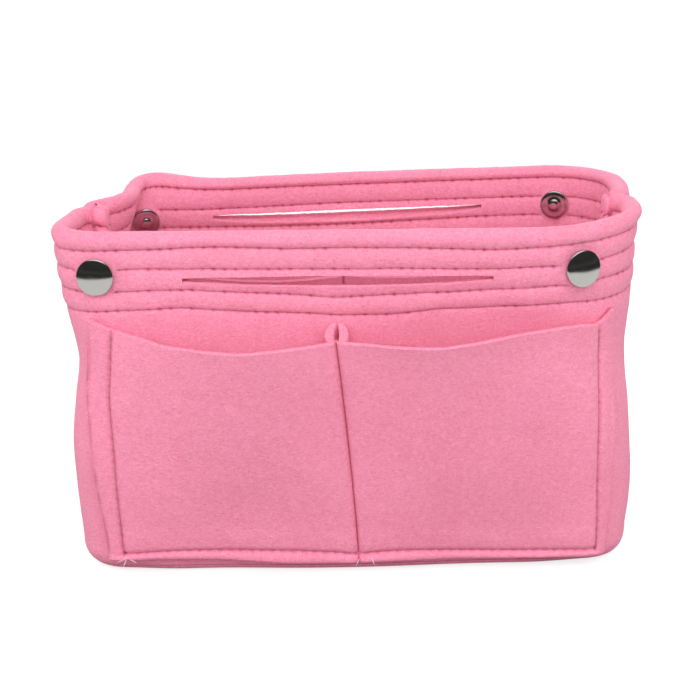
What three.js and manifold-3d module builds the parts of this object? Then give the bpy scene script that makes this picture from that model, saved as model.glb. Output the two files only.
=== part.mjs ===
// Soft felt organizer that stands inside a handbag: an open box of sewn felt with a quilted rim,
// pockets outside and inside, and a press snap near every corner that draws each end together.
// Millimetres. X runs along the length, the front faces -Y, Z is up, and the base rests on z = 0.

import * as THREE from 'three';
import { mergeVertices } from 'three/addons/utils/BufferGeometryUtils.js';
import Module from 'manifold-3d';

const wasm = await Module();
wasm.setup();

// Outer sizes of the shell, measured over the felt of the walls
const height = 122;
const rimWidth = 200;
const rimDepthLeft = 83;
const rimDepthRight = 93;
const waistDrop = 17;
const waistWidth = 190;
const waistDepth = 86;
const bellyWidth = 196;
const bellyDepth = 86;
const baseWidth = 193;
const baseDepth = 84;
const baseCornerRadius = 16;
const frontLeftRimRadius = 20;
const frontRightRimRadius = 38;
const backLeftRimRadius = 28;
const backRightRimRadius = 30;
const frontBowLeft = -3;
const frontBowRight = 6;
const backBowLeft = -8;
const backBowRight = 4;
const backLeftDraw = 9;
const backLeftDrawRun = 14;
const bottomRoll = 8;

// Felt and the clearance between pieces that touch
const feltThickness = 2.5;
const seatGap = 0.3;

// Quilted rim band: the wall's top folded in, with four rows of stitching
const bandHeight = 30;
const firstRowDepth = 5.6;
const rowSpacing = 7;
const rowCount = 4;
const stitchPinch = 0.5;
const quiltPuff = 0.45;
const rimRollHeight = 3.2;
const frontSlotSag = 3;

// Grab slot through the band of the front and the back
const slotLength = 101;
const slotOffset = -3;
const slotDepth = 15.6;
const slotOpening = 1.1;
const frontSlotGape = 1.9;
const backSlotGape = 0.5;

// Seam at the middle of each end, its two edges turned to the inside
const seamRadius = 6.3;
const seamAllowance = 7;
const leftEndDent = 4;
const rightEndDent = 2;
const endDentSpread = 18;
const baseAllowance = 7;

// Each end leans in over a fold line above the base seam
const foldHeight = 8;
const endSplit = 26;
const foldAngle = 18;

// Outer pockets of the front and back
const pocketLeftInset = 16.5;
const pocketRightInset = 14;
const pocketSeamMargin = 7;
const pocketDividerTop = -3.5;
const pocketDividerFoot = 1;
const pocketFoot = 4;
const pocketStitchHeight = 7;
const pocketMouthDrop = 3;
const pocketMouthDip = 4;
const frontPocketBulge = 14;
const backPocketBulge = 9;
const pleatRise = 4;

// Pockets on the inside faces of the front and back walls
const innerPocketInset = 28.5;
const innerPocketMargin = 4;
const innerPocketMouthDrop = 6;
const innerPocketBulge = 9.5;

// Press snaps
const snapLeftInset = 16.5;
const snapRightInset = 23;
const snapDepth = 14.6;
const snapCapDiameter = 12.5;
const snapCapHeight = 2.4;
const snapCapEdge = 0.9;
const snapPostDiameter = 4;
const snapHoleDiameter = 4.8;
const snapBaseDiameter = 10.6;
const snapBaseThickness = 1.2;
const snapCollarDiameter = 7.4;
const snapCollarHeight = 2;
const snapStudDiameter = 3.9;
const snapStudNeck = 3.2;
const snapStudHeight = 2.2;
const snapBoreDiameter = 4.3;

// Shares
const centreFullnessShare = 0.6;
const mouthRiseShare = 1.25;
const rollShares = [0.16, 0.55];
const lowBowShare = 0.3;
const bellyLevelShare = 0.5;
const domeShares = [0.3, 0.6, 0.85];

// Counts of steps round and up the shell and the pockets
const faceSteps = 12;
const cornerSteps = 6;
const endSteps = 3;
const foldSteps = 4;
const latheSteps = 16;
const pocketSteps = 12;
const marginSteps = 3;
const pleatSteps = 5;
const baseEdgeSteps = 3;
const slotSteps = 8;

const bandFoot = height - bandHeight;
const wallFoot = feltThickness + seatGap;
const waistLevel = bandFoot - waistDrop;
const bellyLevel = bottomRoll + (waistLevel - bottomRoll) * bellyLevelShare;
const pocketHeight = bandFoot - pocketMouthDrop;
const innerPocketHeight = bandFoot - innerPocketMouthDrop;
const innerPocketReach = baseWidth / 2 - innerPocketInset;
const rollMiddle = (wallFoot + bottomRoll) / 2;
const wallLevels = [(bottomRoll + bellyLevel) / 2, bellyLevel, (bellyLevel + waistLevel) / 2, waistLevel];
const bandThickness = 2 * feltThickness;
const halves = {
    front: {
        sign: -1,
        leftBow: frontBowLeft,
        rightBow: frontBowRight,
        leftRadius: frontLeftRimRadius,
        rightRadius: frontRightRimRadius,
        leftDraw: 0,
    },
    back: {
        sign: 1,
        leftBow: backBowLeft,
        rightBow: backBowRight,
        leftRadius: backLeftRimRadius,
        rightRadius: backRightRimRadius,
        leftDraw: backLeftDraw,
    },
};

const felt = { color: 0xf58fb2, roughness: 0.95, metalness: 0 };
const feltInside = { color: 0xe87da2, roughness: 0.95, metalness: 0 };
const nickel = { color: 0xc9c4bf, roughness: 0.18, metalness: 1 };

const organizer = new THREE.Group();
organizer.name = 'purse_organizer_insert';

function between(low, high, share) {
    return low + (high - low) * share;
}

function clamped(share) {
    return Math.min(1, Math.max(0, share));
}

function smooth(share) {
    const s = clamped(share);
    return s * s * (3 - 2 * s);
}

// A size that goes smoothly from the base through the belly and the waist to the rim
function profileAt(z, base, belly, waist, rim) {
    if (z < bellyLevel) return between(base, belly, smooth((z - bottomRoll) / (bellyLevel - bottomRoll)));
    if (z < waistLevel) return between(belly, waist, smooth((z - bellyLevel) / (waistLevel - bellyLevel)));
    return between(waist, rim, smooth((z - waistLevel) / (height - waistLevel)));
}

function halfWidthAt(z) {
    return profileAt(z, baseWidth, bellyWidth, waistWidth, rimWidth) / 2;
}

function halfDepthAt(z) {
    return profileAt(z, baseDepth, bellyDepth, waistDepth, (rimDepthLeft + rimDepthRight) / 2) / 2;
}

// How far a level lies from the waist, 0, to the rim, 1
function rimShareAt(z) {
    return smooth((z - waistLevel) / (height - waistLevel));
}

function cornerRadiusAt(half, side, z) {
    const rimRadius = side < 0 ? half.leftRadius : half.rightRadius;
    return between(baseCornerRadius, rimRadius, clamped(z / height));
}

// Lengths of the stretches that one side of a half goes through, from the middle to the seam's raw edge
function stretchesAt(half, side, z) {
    const radius = cornerRadiusAt(half, side, z);
    return {
        radius,
        face: halfWidthAt(z) - radius,
        corner: radius * Math.PI / 2,
        end: halfDepthAt(z) - radius - seamRadius - seatGap / 2,
        fold: seamRadius * Math.PI / 2,
        allowance: seamAllowance,
    };
}

// Point of a rounded rectangle with turned-in seam edges, at a distance along it from the middle
function plainOutline(half, z, distance) {
    const side = distance < 0 ? -1 : 1;
    const s = stretchesAt(half, side, z);
    const halfDepth = halfDepthAt(z);
    const halfWidth = halfWidthAt(z);
    let rest = Math.abs(distance);
    if (rest <= s.face) return [side * rest, halfDepth];
    rest -= s.face;
    if (rest <= s.corner) {
        const turn = rest / s.radius;
        const fromCorner = [s.radius * Math.sin(turn), s.radius * Math.cos(turn)];
        return [side * (s.face + fromCorner[0]), halfDepth - s.radius + fromCorner[1]];
    }
    rest -= s.corner;
    if (rest <= s.end) return [side * halfWidth, halfDepth - s.radius - rest];
    rest -= s.end;
    if (rest <= s.fold) {
        const turn = rest / seamRadius;
        const x = halfWidth - seamRadius + seamRadius * Math.cos(turn);
        return [side * x, seatGap / 2 + seamRadius - seamRadius * Math.sin(turn)];
    }
    return [side * (halfWidth - seamRadius - (rest - s.fold)), seatGap / 2];
}

// The same point after the walls bow, the rim widens to the right and the seams and one corner draw in
function shapedOutline(half, z, distance) {
    const [x, out] = plainOutline(half, z, distance);
    const along = x / halfWidthAt(z);
    const outShare = clamped(out / halfDepthAt(z));
    const rimWidening = (rimDepthRight - rimDepthLeft) / (rimDepthRight + rimDepthLeft);
    const widening = rimWidening * rimShareAt(z) * outShare;
    const rimBow = between(half.leftBow, half.rightBow, smooth((along + 1) / 2)) * (1 - along * along);
    const bow = rimBow * between(lowBowShare, 1, rimShareAt(z)) * outShare;
    const dent = (x < 0 ? leftEndDent : rightEndDent) * Math.exp(-((out / endDentSpread) ** 2));
    const draw = half.leftDraw * smooth(out / backLeftDrawRun) * smooth(-along) * rimShareAt(z);
    return [x - Math.sign(x) * dent + draw, out * (1 + widening * along) + bow];
}

// Place on the shell: distance along it, level, and depth into it from the outer face
function shellPoint(half, z, distance, inward) {
    const nudge = seatGap;
    const before = shapedOutline(half, z, distance - nudge);
    const after = shapedOutline(half, z, distance + nudge);
    const here = shapedOutline(half, z, distance);
    const run = Math.hypot(after[0] - before[0], after[1] - before[1]);
    const inX = (after[1] - before[1]) / run;
    const inOut = -(after[0] - before[0]) / run;
    return new THREE.Vector3(here[0] + inX * inward, half.sign * (here[1] + inOut * inward), z);
}

// How far the lower edge tucks under at a level
function rollInset(z) {
    const below = Math.max(0, bottomRoll - z);
    return bottomRoll - Math.sqrt(bottomRoll * bottomRoll - below * below);
}

function flipWinding(index) {
    for (let i = 0; i < index.length; i += 3) {
        [index[i + 1], index[i + 2]] = [index[i + 2], index[i + 1]];
    }
}

function signedVolume(points, index) {
    let sum = 0;
    for (let i = 0; i < index.length; i += 3) {
        const [a, b, c] = [points[index[i]], points[index[i + 1]], points[index[i + 2]]];
        sum += a.dot(new THREE.Vector3().crossVectors(b, c));
    }
    return sum / 6;
}

function solidFrom(points, index) {
    if (signedVolume(points, index) < 0) flipWinding(index);
    const geometry = new THREE.BufferGeometry();
    const places = points.flatMap((p) => p.toArray());
    geometry.setAttribute('position', new THREE.Float32BufferAttribute(places, 3));
    geometry.setIndex(index);
    return geometry;
}

// Sweeps a closed section through a row of stations, with a cap at each end
function sweepSection(stations, sections, place) {
    const points = [];
    const index = [];
    const count = sections[0].length;
    stations.forEach((station, i) => sections[i].forEach((p) => points.push(place(station, p))));
    for (let i = 0; i + 1 < stations.length; i++) {
        for (let k = 0; k < count; k++) {
            const a = i * count + k;
            const b = i * count + (k + 1) % count;
            index.push(a, b, a + count, b, b + count, a + count);
        }
    }
    const capAt = (i, turned) => {
        const outline = sections[i].map((p) => new THREE.Vector2(p.inward, p.z));
        for (const [a, b, c] of THREE.ShapeUtils.triangulateShape(outline, [])) {
            const base = i * count;
            index.push(base + a, base + (turned ? c : b), base + (turned ? b : c));
        }
    };
    const first = sections[0].map((p) => new THREE.Vector2(p.inward, p.z));
    const clockwise = THREE.ShapeUtils.isClockWise(first);
    capAt(0, !clockwise);
    capAt(stations.length - 1, clockwise);
    return solidFrom(points, index);
}

// A sheet with thickness over a grid: place(u, v, face) gives a point, face 0 near and 1 far
function sheetSolid(uShares, vShares, place) {
    const points = [];
    const index = [];
    const across = uShares.length;
    const at = (i, j, face) => (j * across + i) * 2 + face;
    for (const v of vShares) {
        for (const u of uShares) points.push(place(u, v, 0), place(u, v, 1));
    }
    const quad = (a, b, c, d) => index.push(a, b, c, a, c, d);
    const last = across - 1;
    const top = vShares.length - 1;
    for (let j = 0; j < top; j++) {
        for (let i = 0; i < last; i++) {
            quad(at(i, j, 0), at(i, j + 1, 0), at(i + 1, j + 1, 0), at(i + 1, j, 0));
            quad(at(i, j, 1), at(i + 1, j, 1), at(i + 1, j + 1, 1), at(i, j + 1, 1));
        }
        quad(at(0, j, 0), at(0, j, 1), at(0, j + 1, 1), at(0, j + 1, 0));
        quad(at(last, j, 0), at(last, j + 1, 0), at(last, j + 1, 1), at(last, j, 1));
    }
    for (let i = 0; i < last; i++) {
        quad(at(i, 0, 0), at(i + 1, 0, 0), at(i + 1, 0, 1), at(i, 0, 1));
        quad(at(i, top, 0), at(i, top, 1), at(i + 1, top, 1), at(i + 1, top, 0));
    }
    return solidFrom(points, index);
}

function toSolid(geometry) {
    const bare = geometry.clone();
    bare.deleteAttribute('normal');
    bare.deleteAttribute('uv');
    const merged = mergeVertices(bare);
    return new wasm.Manifold(new wasm.Mesh({
        numProp: 3,
        vertProperties: new Float32Array(merged.attributes.position.array),
        triVerts: new Uint32Array(merged.index.array),
    }));
}

function toGeometry(solid) {
    const mesh = solid.getMesh();
    const geometry = new THREE.BufferGeometry();
    geometry.setAttribute('position', new THREE.BufferAttribute(mesh.vertProperties, 3));
    geometry.setIndex(new THREE.BufferAttribute(mesh.triVerts, 1));
    return geometry;
}

function addPiece(name, geometry, look) {
    const shown = geometry.index && !geometry.attributes.normal ? geometry.toNonIndexed() : geometry;
    shown.computeVertexNormals();
    const mesh = new THREE.Mesh(shown, new THREE.MeshStandardMaterial(look));
    mesh.name = name;
    organizer.add(mesh);
    return mesh;
}

function evenShares(steps) {
    return Array.from({ length: steps + 1 }, (_, i) => i / steps);
}

// Level of a row of stitching, counted from the rim
function rowLevel(row) {
    return height - firstRowDepth - row * rowSpacing;
}

// Section of a wall: up the outer face, over the rolled rim and down the folded-in layer
function wallSection(allowance) {
    const outer = [
        { inward: rollInset(wallFoot), z: wallFoot },
        { inward: rollInset(rollMiddle), z: rollMiddle },
        { inward: 0, z: bottomRoll },
        ...wallLevels.map((z) => ({ inward: 0, z })),
        { inward: 0, z: bandFoot - feltThickness },
    ];
    const quilted = [];
    for (let row = rowCount - 1; row >= 0; row--) {
        const z = rowLevel(row);
        quilted.push({ pinch: stitchPinch, z });
        if (row > 0) quilted.push({ pinch: -quiltPuff, z: z + rowSpacing / 2 });
    }
    const bandOuter = quilted.map(({ pinch, z }) => ({ inward: pinch, z }));
    const bandInner = quilted.map(({ pinch, z }) => ({ inward: bandThickness - pinch, z })).reverse();
    const rollLevels = rollShares.map((share) => height - rimRollHeight * share);
    const rollOuter = [
        { inward: -quiltPuff, z: height - rimRollHeight },
        { inward: bandThickness * rollShares[0], z: rollLevels[1] },
        { inward: bandThickness * rollShares[1] / 2 + feltThickness / 2, z: height },
    ];
    const rollInner = [
        { inward: bandThickness * (1 - rollShares[0]), z: rollLevels[1] },
        { inward: bandThickness + quiltPuff, z: height - rimRollHeight },
    ];
    const flangeTop = wallFoot + feltThickness;
    const inner = [
        { inward: bandThickness, z: bandFoot },
        { inward: feltThickness, z: bandFoot },
        ...wallLevels.map((z) => ({ inward: feltThickness, z })).reverse(),
        { inward: feltThickness, z: bottomRoll + feltThickness },
        { inward: feltThickness + rollInset(flangeTop), z: flangeTop },
        { inward: feltThickness + rollInset(flangeTop) + allowance, z: flangeTop },
        { inward: feltThickness + rollInset(flangeTop) + allowance, z: wallFoot },
    ];
    return [...outer, ...bandOuter, ...rollOuter, ...rollInner, ...bandInner, ...inner];
}

// The slot's weight pulls the lower rows down in the middle of the front
function slotSagAt(half, z, distance) {
    if (half.sign > 0) return 0;
    const reach = clamped(1 - ((distance - slotOffset) / (slotLength / 2)) ** 2);
    const under = clamped((height - slotDepth - z) / rowSpacing + 1);
    const above = clamped((z - bottomRoll) / (bandFoot - bottomRoll));
    return frontSlotSag * reach * Math.min(under, above) * (z > height - slotDepth ? 0 : 1);
}

// Distances of the stations from the middle, the same share of every stretch at each level
function stationShares() {
    const list = [];
    const add = (stretch, steps) => {
        for (const share of evenShares(steps).slice(1)) list.push({ stretch, share });
    };
    add('corner', cornerSteps);
    add('end', endSteps);
    add('fold', foldSteps);
    add('allowance', 1);
    const left = list.map((s) => ({ ...s, side: -1 })).reverse();
    const face = evenShares(faceSteps).map((share) => ({ stretch: 'face', across: between(-1, 1, share) }));
    return [...left, ...face, ...list.map((s) => ({ ...s, side: 1 }))];
}

function stationDistance(half, station, z) {
    if (station.stretch === 'face') {
        const side = station.across < 0 ? -1 : 1;
        return station.across * stretchesAt(half, side, z).face;
    }
    const s = stretchesAt(half, station.side, z);
    let sum = s.face;
    for (const stretch of ['corner', 'end', 'fold', 'allowance']) {
        if (stretch === station.stretch) return station.side * (sum + s[stretch] * station.share);
        sum += s[stretch];
    }
    return station.side * sum;
}

// At the seam the two halves press each other flat, so nothing stands proud there
function flattenedSection(section) {
    return section.map(({ inward, z }) => ({ inward: Math.max(0, inward), z }));
}

function buildHalfShell(half) {
    const stations = stationShares();
    const sections = stations.map((station) => {
        const turned = station.stretch === 'fold' || station.stretch === 'allowance';
        return turned ? flattenedSection(wallSection(seatGap)) : wallSection(baseAllowance);
    });
    return toSolid(sweepSection(stations, sections, (station, p) => {
        const z = p.z - slotSagAt(half, p.z, stationDistance(half, station, p.z));
        return shellPoint(half, z, stationDistance(half, station, z), p.inward);
    }));
}

function boxSolid(low, high) {
    const size = high.clone().sub(low);
    const geometry = new THREE.BoxGeometry(size.x, size.y, size.z);
    geometry.translate((low.x + high.x) / 2, (low.y + high.y) / 2, (low.z + high.z) / 2);
    return toSolid(geometry);
}

// Lens-shaped cutter for the slot: straight upper lip, lower lip hanging open in the middle
function slotCutter(half) {
    const gape = half.sign < 0 ? frontSlotGape : backSlotGape;
    const shape = new THREE.Shape();
    const start = slotOffset - slotLength / 2;
    const end = slotOffset + slotLength / 2;
    const top = height - slotDepth;
    shape.moveTo(start, top);
    shape.lineTo(end, top);
    shape.lineTo(end, top - slotOpening);
    shape.quadraticCurveTo(slotOffset, top - slotOpening - 2 * gape, start, top - slotOpening);
    const options = { depth: rimWidth, bevelEnabled: false, curveSegments: slotSteps };
    const geometry = new THREE.ExtrudeGeometry(shape, options);
    geometry.rotateX(Math.PI / 2);
    if (half.sign > 0) geometry.translate(0, rimWidth, 0);
    return toSolid(geometry);
}

// Where each snap sits: its place on the outer face and the way it points
function snapSeat(half, side) {
    const distance = side < 0 ? snapLeftInset - rimWidth / 2 : rimWidth / 2 - snapRightInset;
    const z = height - snapDepth;
    const face = shellPoint(half, z, distance, 0);
    const along = shellPoint(half, z, distance + snapCapEdge, 0).sub(face);
    const upward = shellPoint(half, z + snapCapEdge, distance, 0).sub(face);
    const outward = along.cross(upward).multiplyScalar(half.sign < 0 ? 1 : -1).normalize();
    return { face, outward };
}

function placeOnSeat(geometry, seat, offset) {
    const turn = new THREE.Quaternion().setFromUnitVectors(new THREE.Vector3(0, 0, 1), seat.outward);
    const at = seat.face.clone().addScaledVector(seat.outward, offset);
    geometry.applyQuaternion(turn);
    geometry.translate(at.x, at.y, at.z);
    return geometry;
}

function snapHoleCutter(half, side) {
    const radius = snapHoleDiameter / 2;
    const geometry = new THREE.CylinderGeometry(radius, radius, 4 * bandThickness, latheSteps);
    geometry.rotateX(Math.PI / 2);
    return toSolid(placeOnSeat(geometry, snapSeat(half, side), 0));
}

function addShell() {
    const far = rimWidth;
    for (const [name, half] of Object.entries(halves)) {
        let shell = buildHalfShell(half).subtract(slotCutter(half));
        for (const side of [-1, 1]) shell = shell.subtract(snapHoleCutter(half, side));
        const split = endSplit + seatGap / 2;
        const windowLow = new THREE.Vector3(-far, -split, foldHeight);
        const window = boxSolid(windowLow, new THREE.Vector3(far, split, far));
        addPiece(`${name}_wall`, toGeometry(shell.subtract(window)), felt);
        for (const [sideName, side] of [['left', -1], ['right', 1]]) {
            const inner = endSplit - seatGap / 2;
            const low = new THREE.Vector3(side < 0 ? -far : 0, -inner, foldHeight + seatGap);
            const high = new THREE.Vector3(side < 0 ? 0 : far, inner, far);
            const endHalf = shell.intersect(boxSolid(low, high)).subtract(foldRelief(side));
            addPiece(`${sideName}_end_${name}_half`, toGeometry(endHalf), felt);
        }
    }
}

// Line that an end turns on: the inner face of the end wall at the fold height
function foldLineX(side) {
    return side * (halfWidthAt(foldHeight) - feltThickness);
}

// Room under the turned-in seam edges, so that they clear the base when the end leans in
function foldRelief(side) {
    const far = rimWidth;
    const geometry = new THREE.BoxGeometry(2 * far, far, far);
    geometry.translate(0, 0, -far / 2);
    geometry.rotateY(side * THREE.MathUtils.degToRad(foldAngle));
    geometry.translate(foldLineX(side), 0, foldHeight + seatGap);
    return toSolid(geometry);
}

// Base panel: flat felt whose edge carries on the tuck of the walls
function addBasePanel() {
    const levels = evenShares(baseEdgeSteps).map((share) => feltThickness * share * share);
    const rings = levels.map((z) => {
        const ring = [];
        for (const half of [halves.front, halves.back]) {
            for (const station of stationShares()) {
                if (station.stretch === 'fold' || station.stretch === 'allowance') continue;
                const distance = stationDistance(half, station, z);
                ring.push(shellPoint(half, z, half.sign * -distance, rollInset(z)));
            }
        }
        return ring;
    });
    const count = rings[0].length;
    const points = rings.flat();
    const index = [];
    for (let j = 0; j + 1 < rings.length; j++) {
        for (let i = 0; i < count; i++) {
            const a = j * count + i;
            const b = j * count + (i + 1) % count;
            index.push(a, b, b + count, a, b + count, a + count);
        }
    }
    const bottom = points.push(new THREE.Vector3(0, 0, 0)) - 1;
    const top = points.push(new THREE.Vector3(0, 0, feltThickness)) - 1;
    const lastRing = (rings.length - 1) * count;
    for (let i = 0; i < count; i++) {
        const next = (i + 1) % count;
        index.push(bottom, next, i, top, lastRing + i, lastRing + next);
    }
    addPiece('base_panel', solidFrom(points, index), felt);
}

// How full a two-part pocket stands, from 0 at a side seam to its most between seam and divider
function fullnessAt(across) {
    const share = Math.max(0, 1 - Math.abs(across));
    return Math.sin(share * (Math.PI - Math.asin(centreFullnessShare)));
}

// How far a level lies up a pocket, from 0 at its lower seam to 1 at its mouth
function pocketRise(pocket, level) {
    return clamped((level - pocket.seam) / (pocket.mouth - pocket.seam)) ** mouthRiseShare;
}

// Distance of a stop: -1 and 1 are the side seams, 0 is the divider, and the margins lie outside
function pocketDistance(pocket, across, level) {
    const divider = between(pocketDividerFoot, pocketDividerTop, pocketRise(pocket, level));
    if (across < -1) return pocket.left + (across + 1) * pocket.margin;
    if (across < 0) return between(divider, pocket.left, -across);
    if (across <= 1) return between(divider, pocket.right, across);
    return pocket.right + (across - 1) * pocket.margin;
}

function pocketStops() {
    const stops = [-2];
    for (const [from, steps] of [[-2, marginSteps], [-1, pocketSteps], [0, pocketSteps], [1, marginSteps]]) {
        for (const share of evenShares(steps).slice(1)) stops.push(from + share);
    }
    return stops;
}

function addOuterPocket(name, half, bulge) {
    const pocket = {
        left: pocketLeftInset - baseWidth / 2,
        right: baseWidth / 2 - pocketRightInset,
        margin: pocketSeamMargin,
        seam: pocketStitchHeight,
        mouth: pocketHeight,
    };
    const outAt = (across, level) => seatGap + bulge * fullnessAt(across) * pocketRise(pocket, level);
    const dipAt = (across, level) => pocketMouthDip * fullnessAt(across) * pocketRise(pocket, level);
    const levels = [pocketFoot, rollMiddle, bottomRoll, ...wallLevels, pocketHeight];
    const sheet = sheetSolid(pocketStops(), levels, (across, level, face) => {
        const z = level - dipAt(across, level);
        const inward = rollInset(z) - outAt(across, level) - face * feltThickness;
        return shellPoint(half, z, pocketDistance(pocket, across, level), inward);
    });
    const pleat = pleatFolds(half, pocket, outAt, dipAt);
    addPiece(name, toGeometry(toSolid(sheet).add(toSolid(pleat))), felt);
}

// The pocket's fullness folded back to the wall at the divider: two layers side by side
function pleatFolds(half, pocket, outAt, dipAt) {
    const place = (u, v, face) => {
        const level = between(bottomRoll, pocketHeight, v);
        const z = level - dipAt(0, level) + between(pleatRise, 0, u) * v;
        const out = between(seatGap, outAt(0, level) + feltThickness / 2, u);
        return shellPoint(half, z, pocketDistance(pocket, 0, level) + (2 * face - 1) * feltThickness, -out);
    };
    return sheetSolid(evenShares(2), evenShares(pleatSteps), place);
}

function addInnerPocket(name, half) {
    const pocket = {
        left: -innerPocketReach,
        right: innerPocketReach,
        margin: innerPocketMargin,
        seam: bottomRoll + 2 * feltThickness,
        mouth: innerPocketHeight,
    };
    const levels = [bottomRoll + feltThickness, ...wallLevels, innerPocketHeight];
    addPiece(name, sheetSolid(pocketStops(), levels, (across, level, face) => {
        const bulge = innerPocketBulge * fullnessAt(across) * pocketRise(pocket, level);
        const inward = feltThickness + seatGap + bulge + face * feltThickness;
        return shellPoint(half, level, pocketDistance(pocket, across, level), inward);
    }), feltInside);
}

function latheSolid(profile) {
    const points = profile.map(([r, z]) => new THREE.Vector2(r, z));
    const geometry = new THREE.LatheGeometry(points, latheSteps);
    geometry.rotateX(Math.PI / 2);
    return geometry;
}

// Domed cap with its rivet post, from the post's tip round to the top of the dome
function capProfile() {
    const tip = -(bandThickness + 2 * quiltPuff + seatGap);
    const post = snapPostDiameter / 2;
    const edge = snapCapDiameter / 2;
    const profile = [[0, tip], [post, tip], [post, 0], [edge - snapCapEdge / 2, 0], [edge, snapCapEdge / 2]];
    profile.push([edge - snapCapEdge / 3, snapCapEdge]);
    for (const share of domeShares) {
        const angle = share * Math.PI / 2;
        const reach = (edge - snapCapEdge) * Math.cos(angle);
        profile.push([reach, between(snapCapEdge, snapCapHeight, Math.sin(angle))]);
    }
    profile.push([0, snapCapHeight]);
    return profile;
}

// Socket: a base disc with a raised collar round the bore that takes the stud
function socketProfile() {
    const bore = snapBoreDiameter / 2;
    const collar = snapCollarDiameter / 2;
    const edge = snapBaseDiameter / 2;
    const face = snapBaseThickness;
    const top = snapBaseThickness + snapCollarHeight;
    return [[0, 0], [edge, 0], [edge, face / 2], [edge - face / 2, face], [collar, face],
        [collar, top - face / 3], [collar - face / 3, top], [bore, top], [bore, face / 2], [0, face / 2]];
}

// Stud: a base disc with a headed peg
function studProfile() {
    const edge = snapBaseDiameter / 2;
    const face = snapBaseThickness;
    const neck = snapStudNeck / 2;
    const head = snapStudDiameter / 2;
    const top = snapBaseThickness + snapStudHeight;
    return [[0, 0], [edge, 0], [edge, face / 2], [edge - face / 2, face], [neck + face, face],
        [neck, face + face / 3], [neck, top - head / 2], [head, top - head / 3],
        [head - face / 3, top], [0, top]];
}

function addSnaps() {
    const outside = quiltPuff + seatGap;
    for (const [halfName, half] of Object.entries(halves)) {
        for (const [sideName, side] of [['left', -1], ['right', 1]]) {
            const seat = snapSeat(half, side);
            const radius = cornerRadiusAt(half, side, height - snapDepth) - bandThickness;
            const sagitta = radius - Math.sqrt(radius * radius - snapBaseDiameter * snapBaseDiameter / 4);
            const cap = latheSolid(capProfile());
            addPiece(`snap_cap_${halfName}_${sideName}`, placeOnSeat(cap, seat, outside), nickel);
            const inner = { face: seat.face, outward: seat.outward.clone().negate() };
            const part = half.sign < 0 ? 'socket' : 'stud';
            const press = latheSolid(half.sign < 0 ? socketProfile() : studProfile());
            const offset = bandThickness + quiltPuff + seatGap + sagitta + seatGap;
            addPiece(`snap_${part}_${sideName}`, placeOnSeat(press, inner, offset), nickel);
        }
    }
}

addBasePanel();
addShell();
addOuterPocket('front_pocket', halves.front, frontPocketBulge);
addOuterPocket('back_pocket', halves.back, backPocketBulge);
addInnerPocket('inner_front_pocket', halves.front);
addInnerPocket('inner_back_pocket', halves.back);
addSnaps();

export default organizer;
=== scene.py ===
import math

import bpy
import numpy as np
from mathutils import Matrix, Vector


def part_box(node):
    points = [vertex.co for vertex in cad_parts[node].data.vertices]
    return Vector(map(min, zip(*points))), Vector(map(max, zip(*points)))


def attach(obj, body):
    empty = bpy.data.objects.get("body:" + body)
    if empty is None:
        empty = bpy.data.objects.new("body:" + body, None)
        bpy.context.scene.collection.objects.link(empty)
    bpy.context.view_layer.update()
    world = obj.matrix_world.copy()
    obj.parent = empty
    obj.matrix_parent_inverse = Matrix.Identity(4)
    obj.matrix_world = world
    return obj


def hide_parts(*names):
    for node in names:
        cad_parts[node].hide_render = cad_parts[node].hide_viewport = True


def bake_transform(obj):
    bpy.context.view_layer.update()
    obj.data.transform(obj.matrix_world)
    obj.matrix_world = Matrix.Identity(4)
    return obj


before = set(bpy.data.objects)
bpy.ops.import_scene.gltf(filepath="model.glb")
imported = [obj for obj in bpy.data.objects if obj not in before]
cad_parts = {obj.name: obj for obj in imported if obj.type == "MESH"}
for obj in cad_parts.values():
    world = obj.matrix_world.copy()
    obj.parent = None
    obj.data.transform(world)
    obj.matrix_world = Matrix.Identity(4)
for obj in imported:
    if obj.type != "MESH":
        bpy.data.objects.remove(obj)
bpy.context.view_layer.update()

# Sizes are in millimetres up to the point where a mesh is made, and x, y and z are the CAD's.
# Along a half of the shell, distance runs from 0 at the middle of the wall, to the left below 0.
sideNames = {-1: "left", 1: "right"}


def between(low, high, share):
    return low + (high - low) * share


def smooth(share):
    s = np.clip(share, 0, 1)
    return s * s * (3 - 2 * s)


def easeIn(value, start, run):
    # 0 up to start, and 1 from the end of the run
    return smooth((value - start) / run)


def bump(offset, reach):
    return np.exp(-((offset / reach) ** 2))


def unit(vectors):
    return vectors / np.maximum(np.linalg.norm(vectors, axis=-1, keepdims=True), 1e-9)


def scatter(count, seed):
    return np.random.default_rng(seed).uniform(-1, 1, count)


def ofSide(pair, side):
    return pair[0 if side < 0 else 1]


# materials
feltLook = {
    "light": (0.985, 0.36, 0.51), "deep": (0.80, 0.205, 0.33), "loose": (1.0, 0.50, 0.62),
    # needleShade is the colour of painted shade in needle holes, stitch rows, seams and along raw edges
    "stops": (0.425, 0.672, 0.765), "needleShade": (0.43, 0.045, 0.10),
    "fibreSize": 0.00055, "tuftSize": 0.00085, "cloudSize": 0.022,
    "strandShare": 0.55, "tuftShare": 0.25, "cloudShare": 0.08, "relief": 0.95, "bumpHeight": 0.0005,
    "surface": {"Roughness": 0.95, "Specular IOR Level": 0.12, "Sheen Weight": 0.24, "Sheen Roughness": 0.45,
                "Sheen Tint": (1, 0.72, 0.80, 1)},
}
nickelLook = {
    "color": (0.66, 0.645, 0.62), "worn": 0.93, "roughness": (0.09, 0.20), "wearSize": 0.0016,
    "relief": 0.08, "bumpHeight": 0.00005,
}


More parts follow.
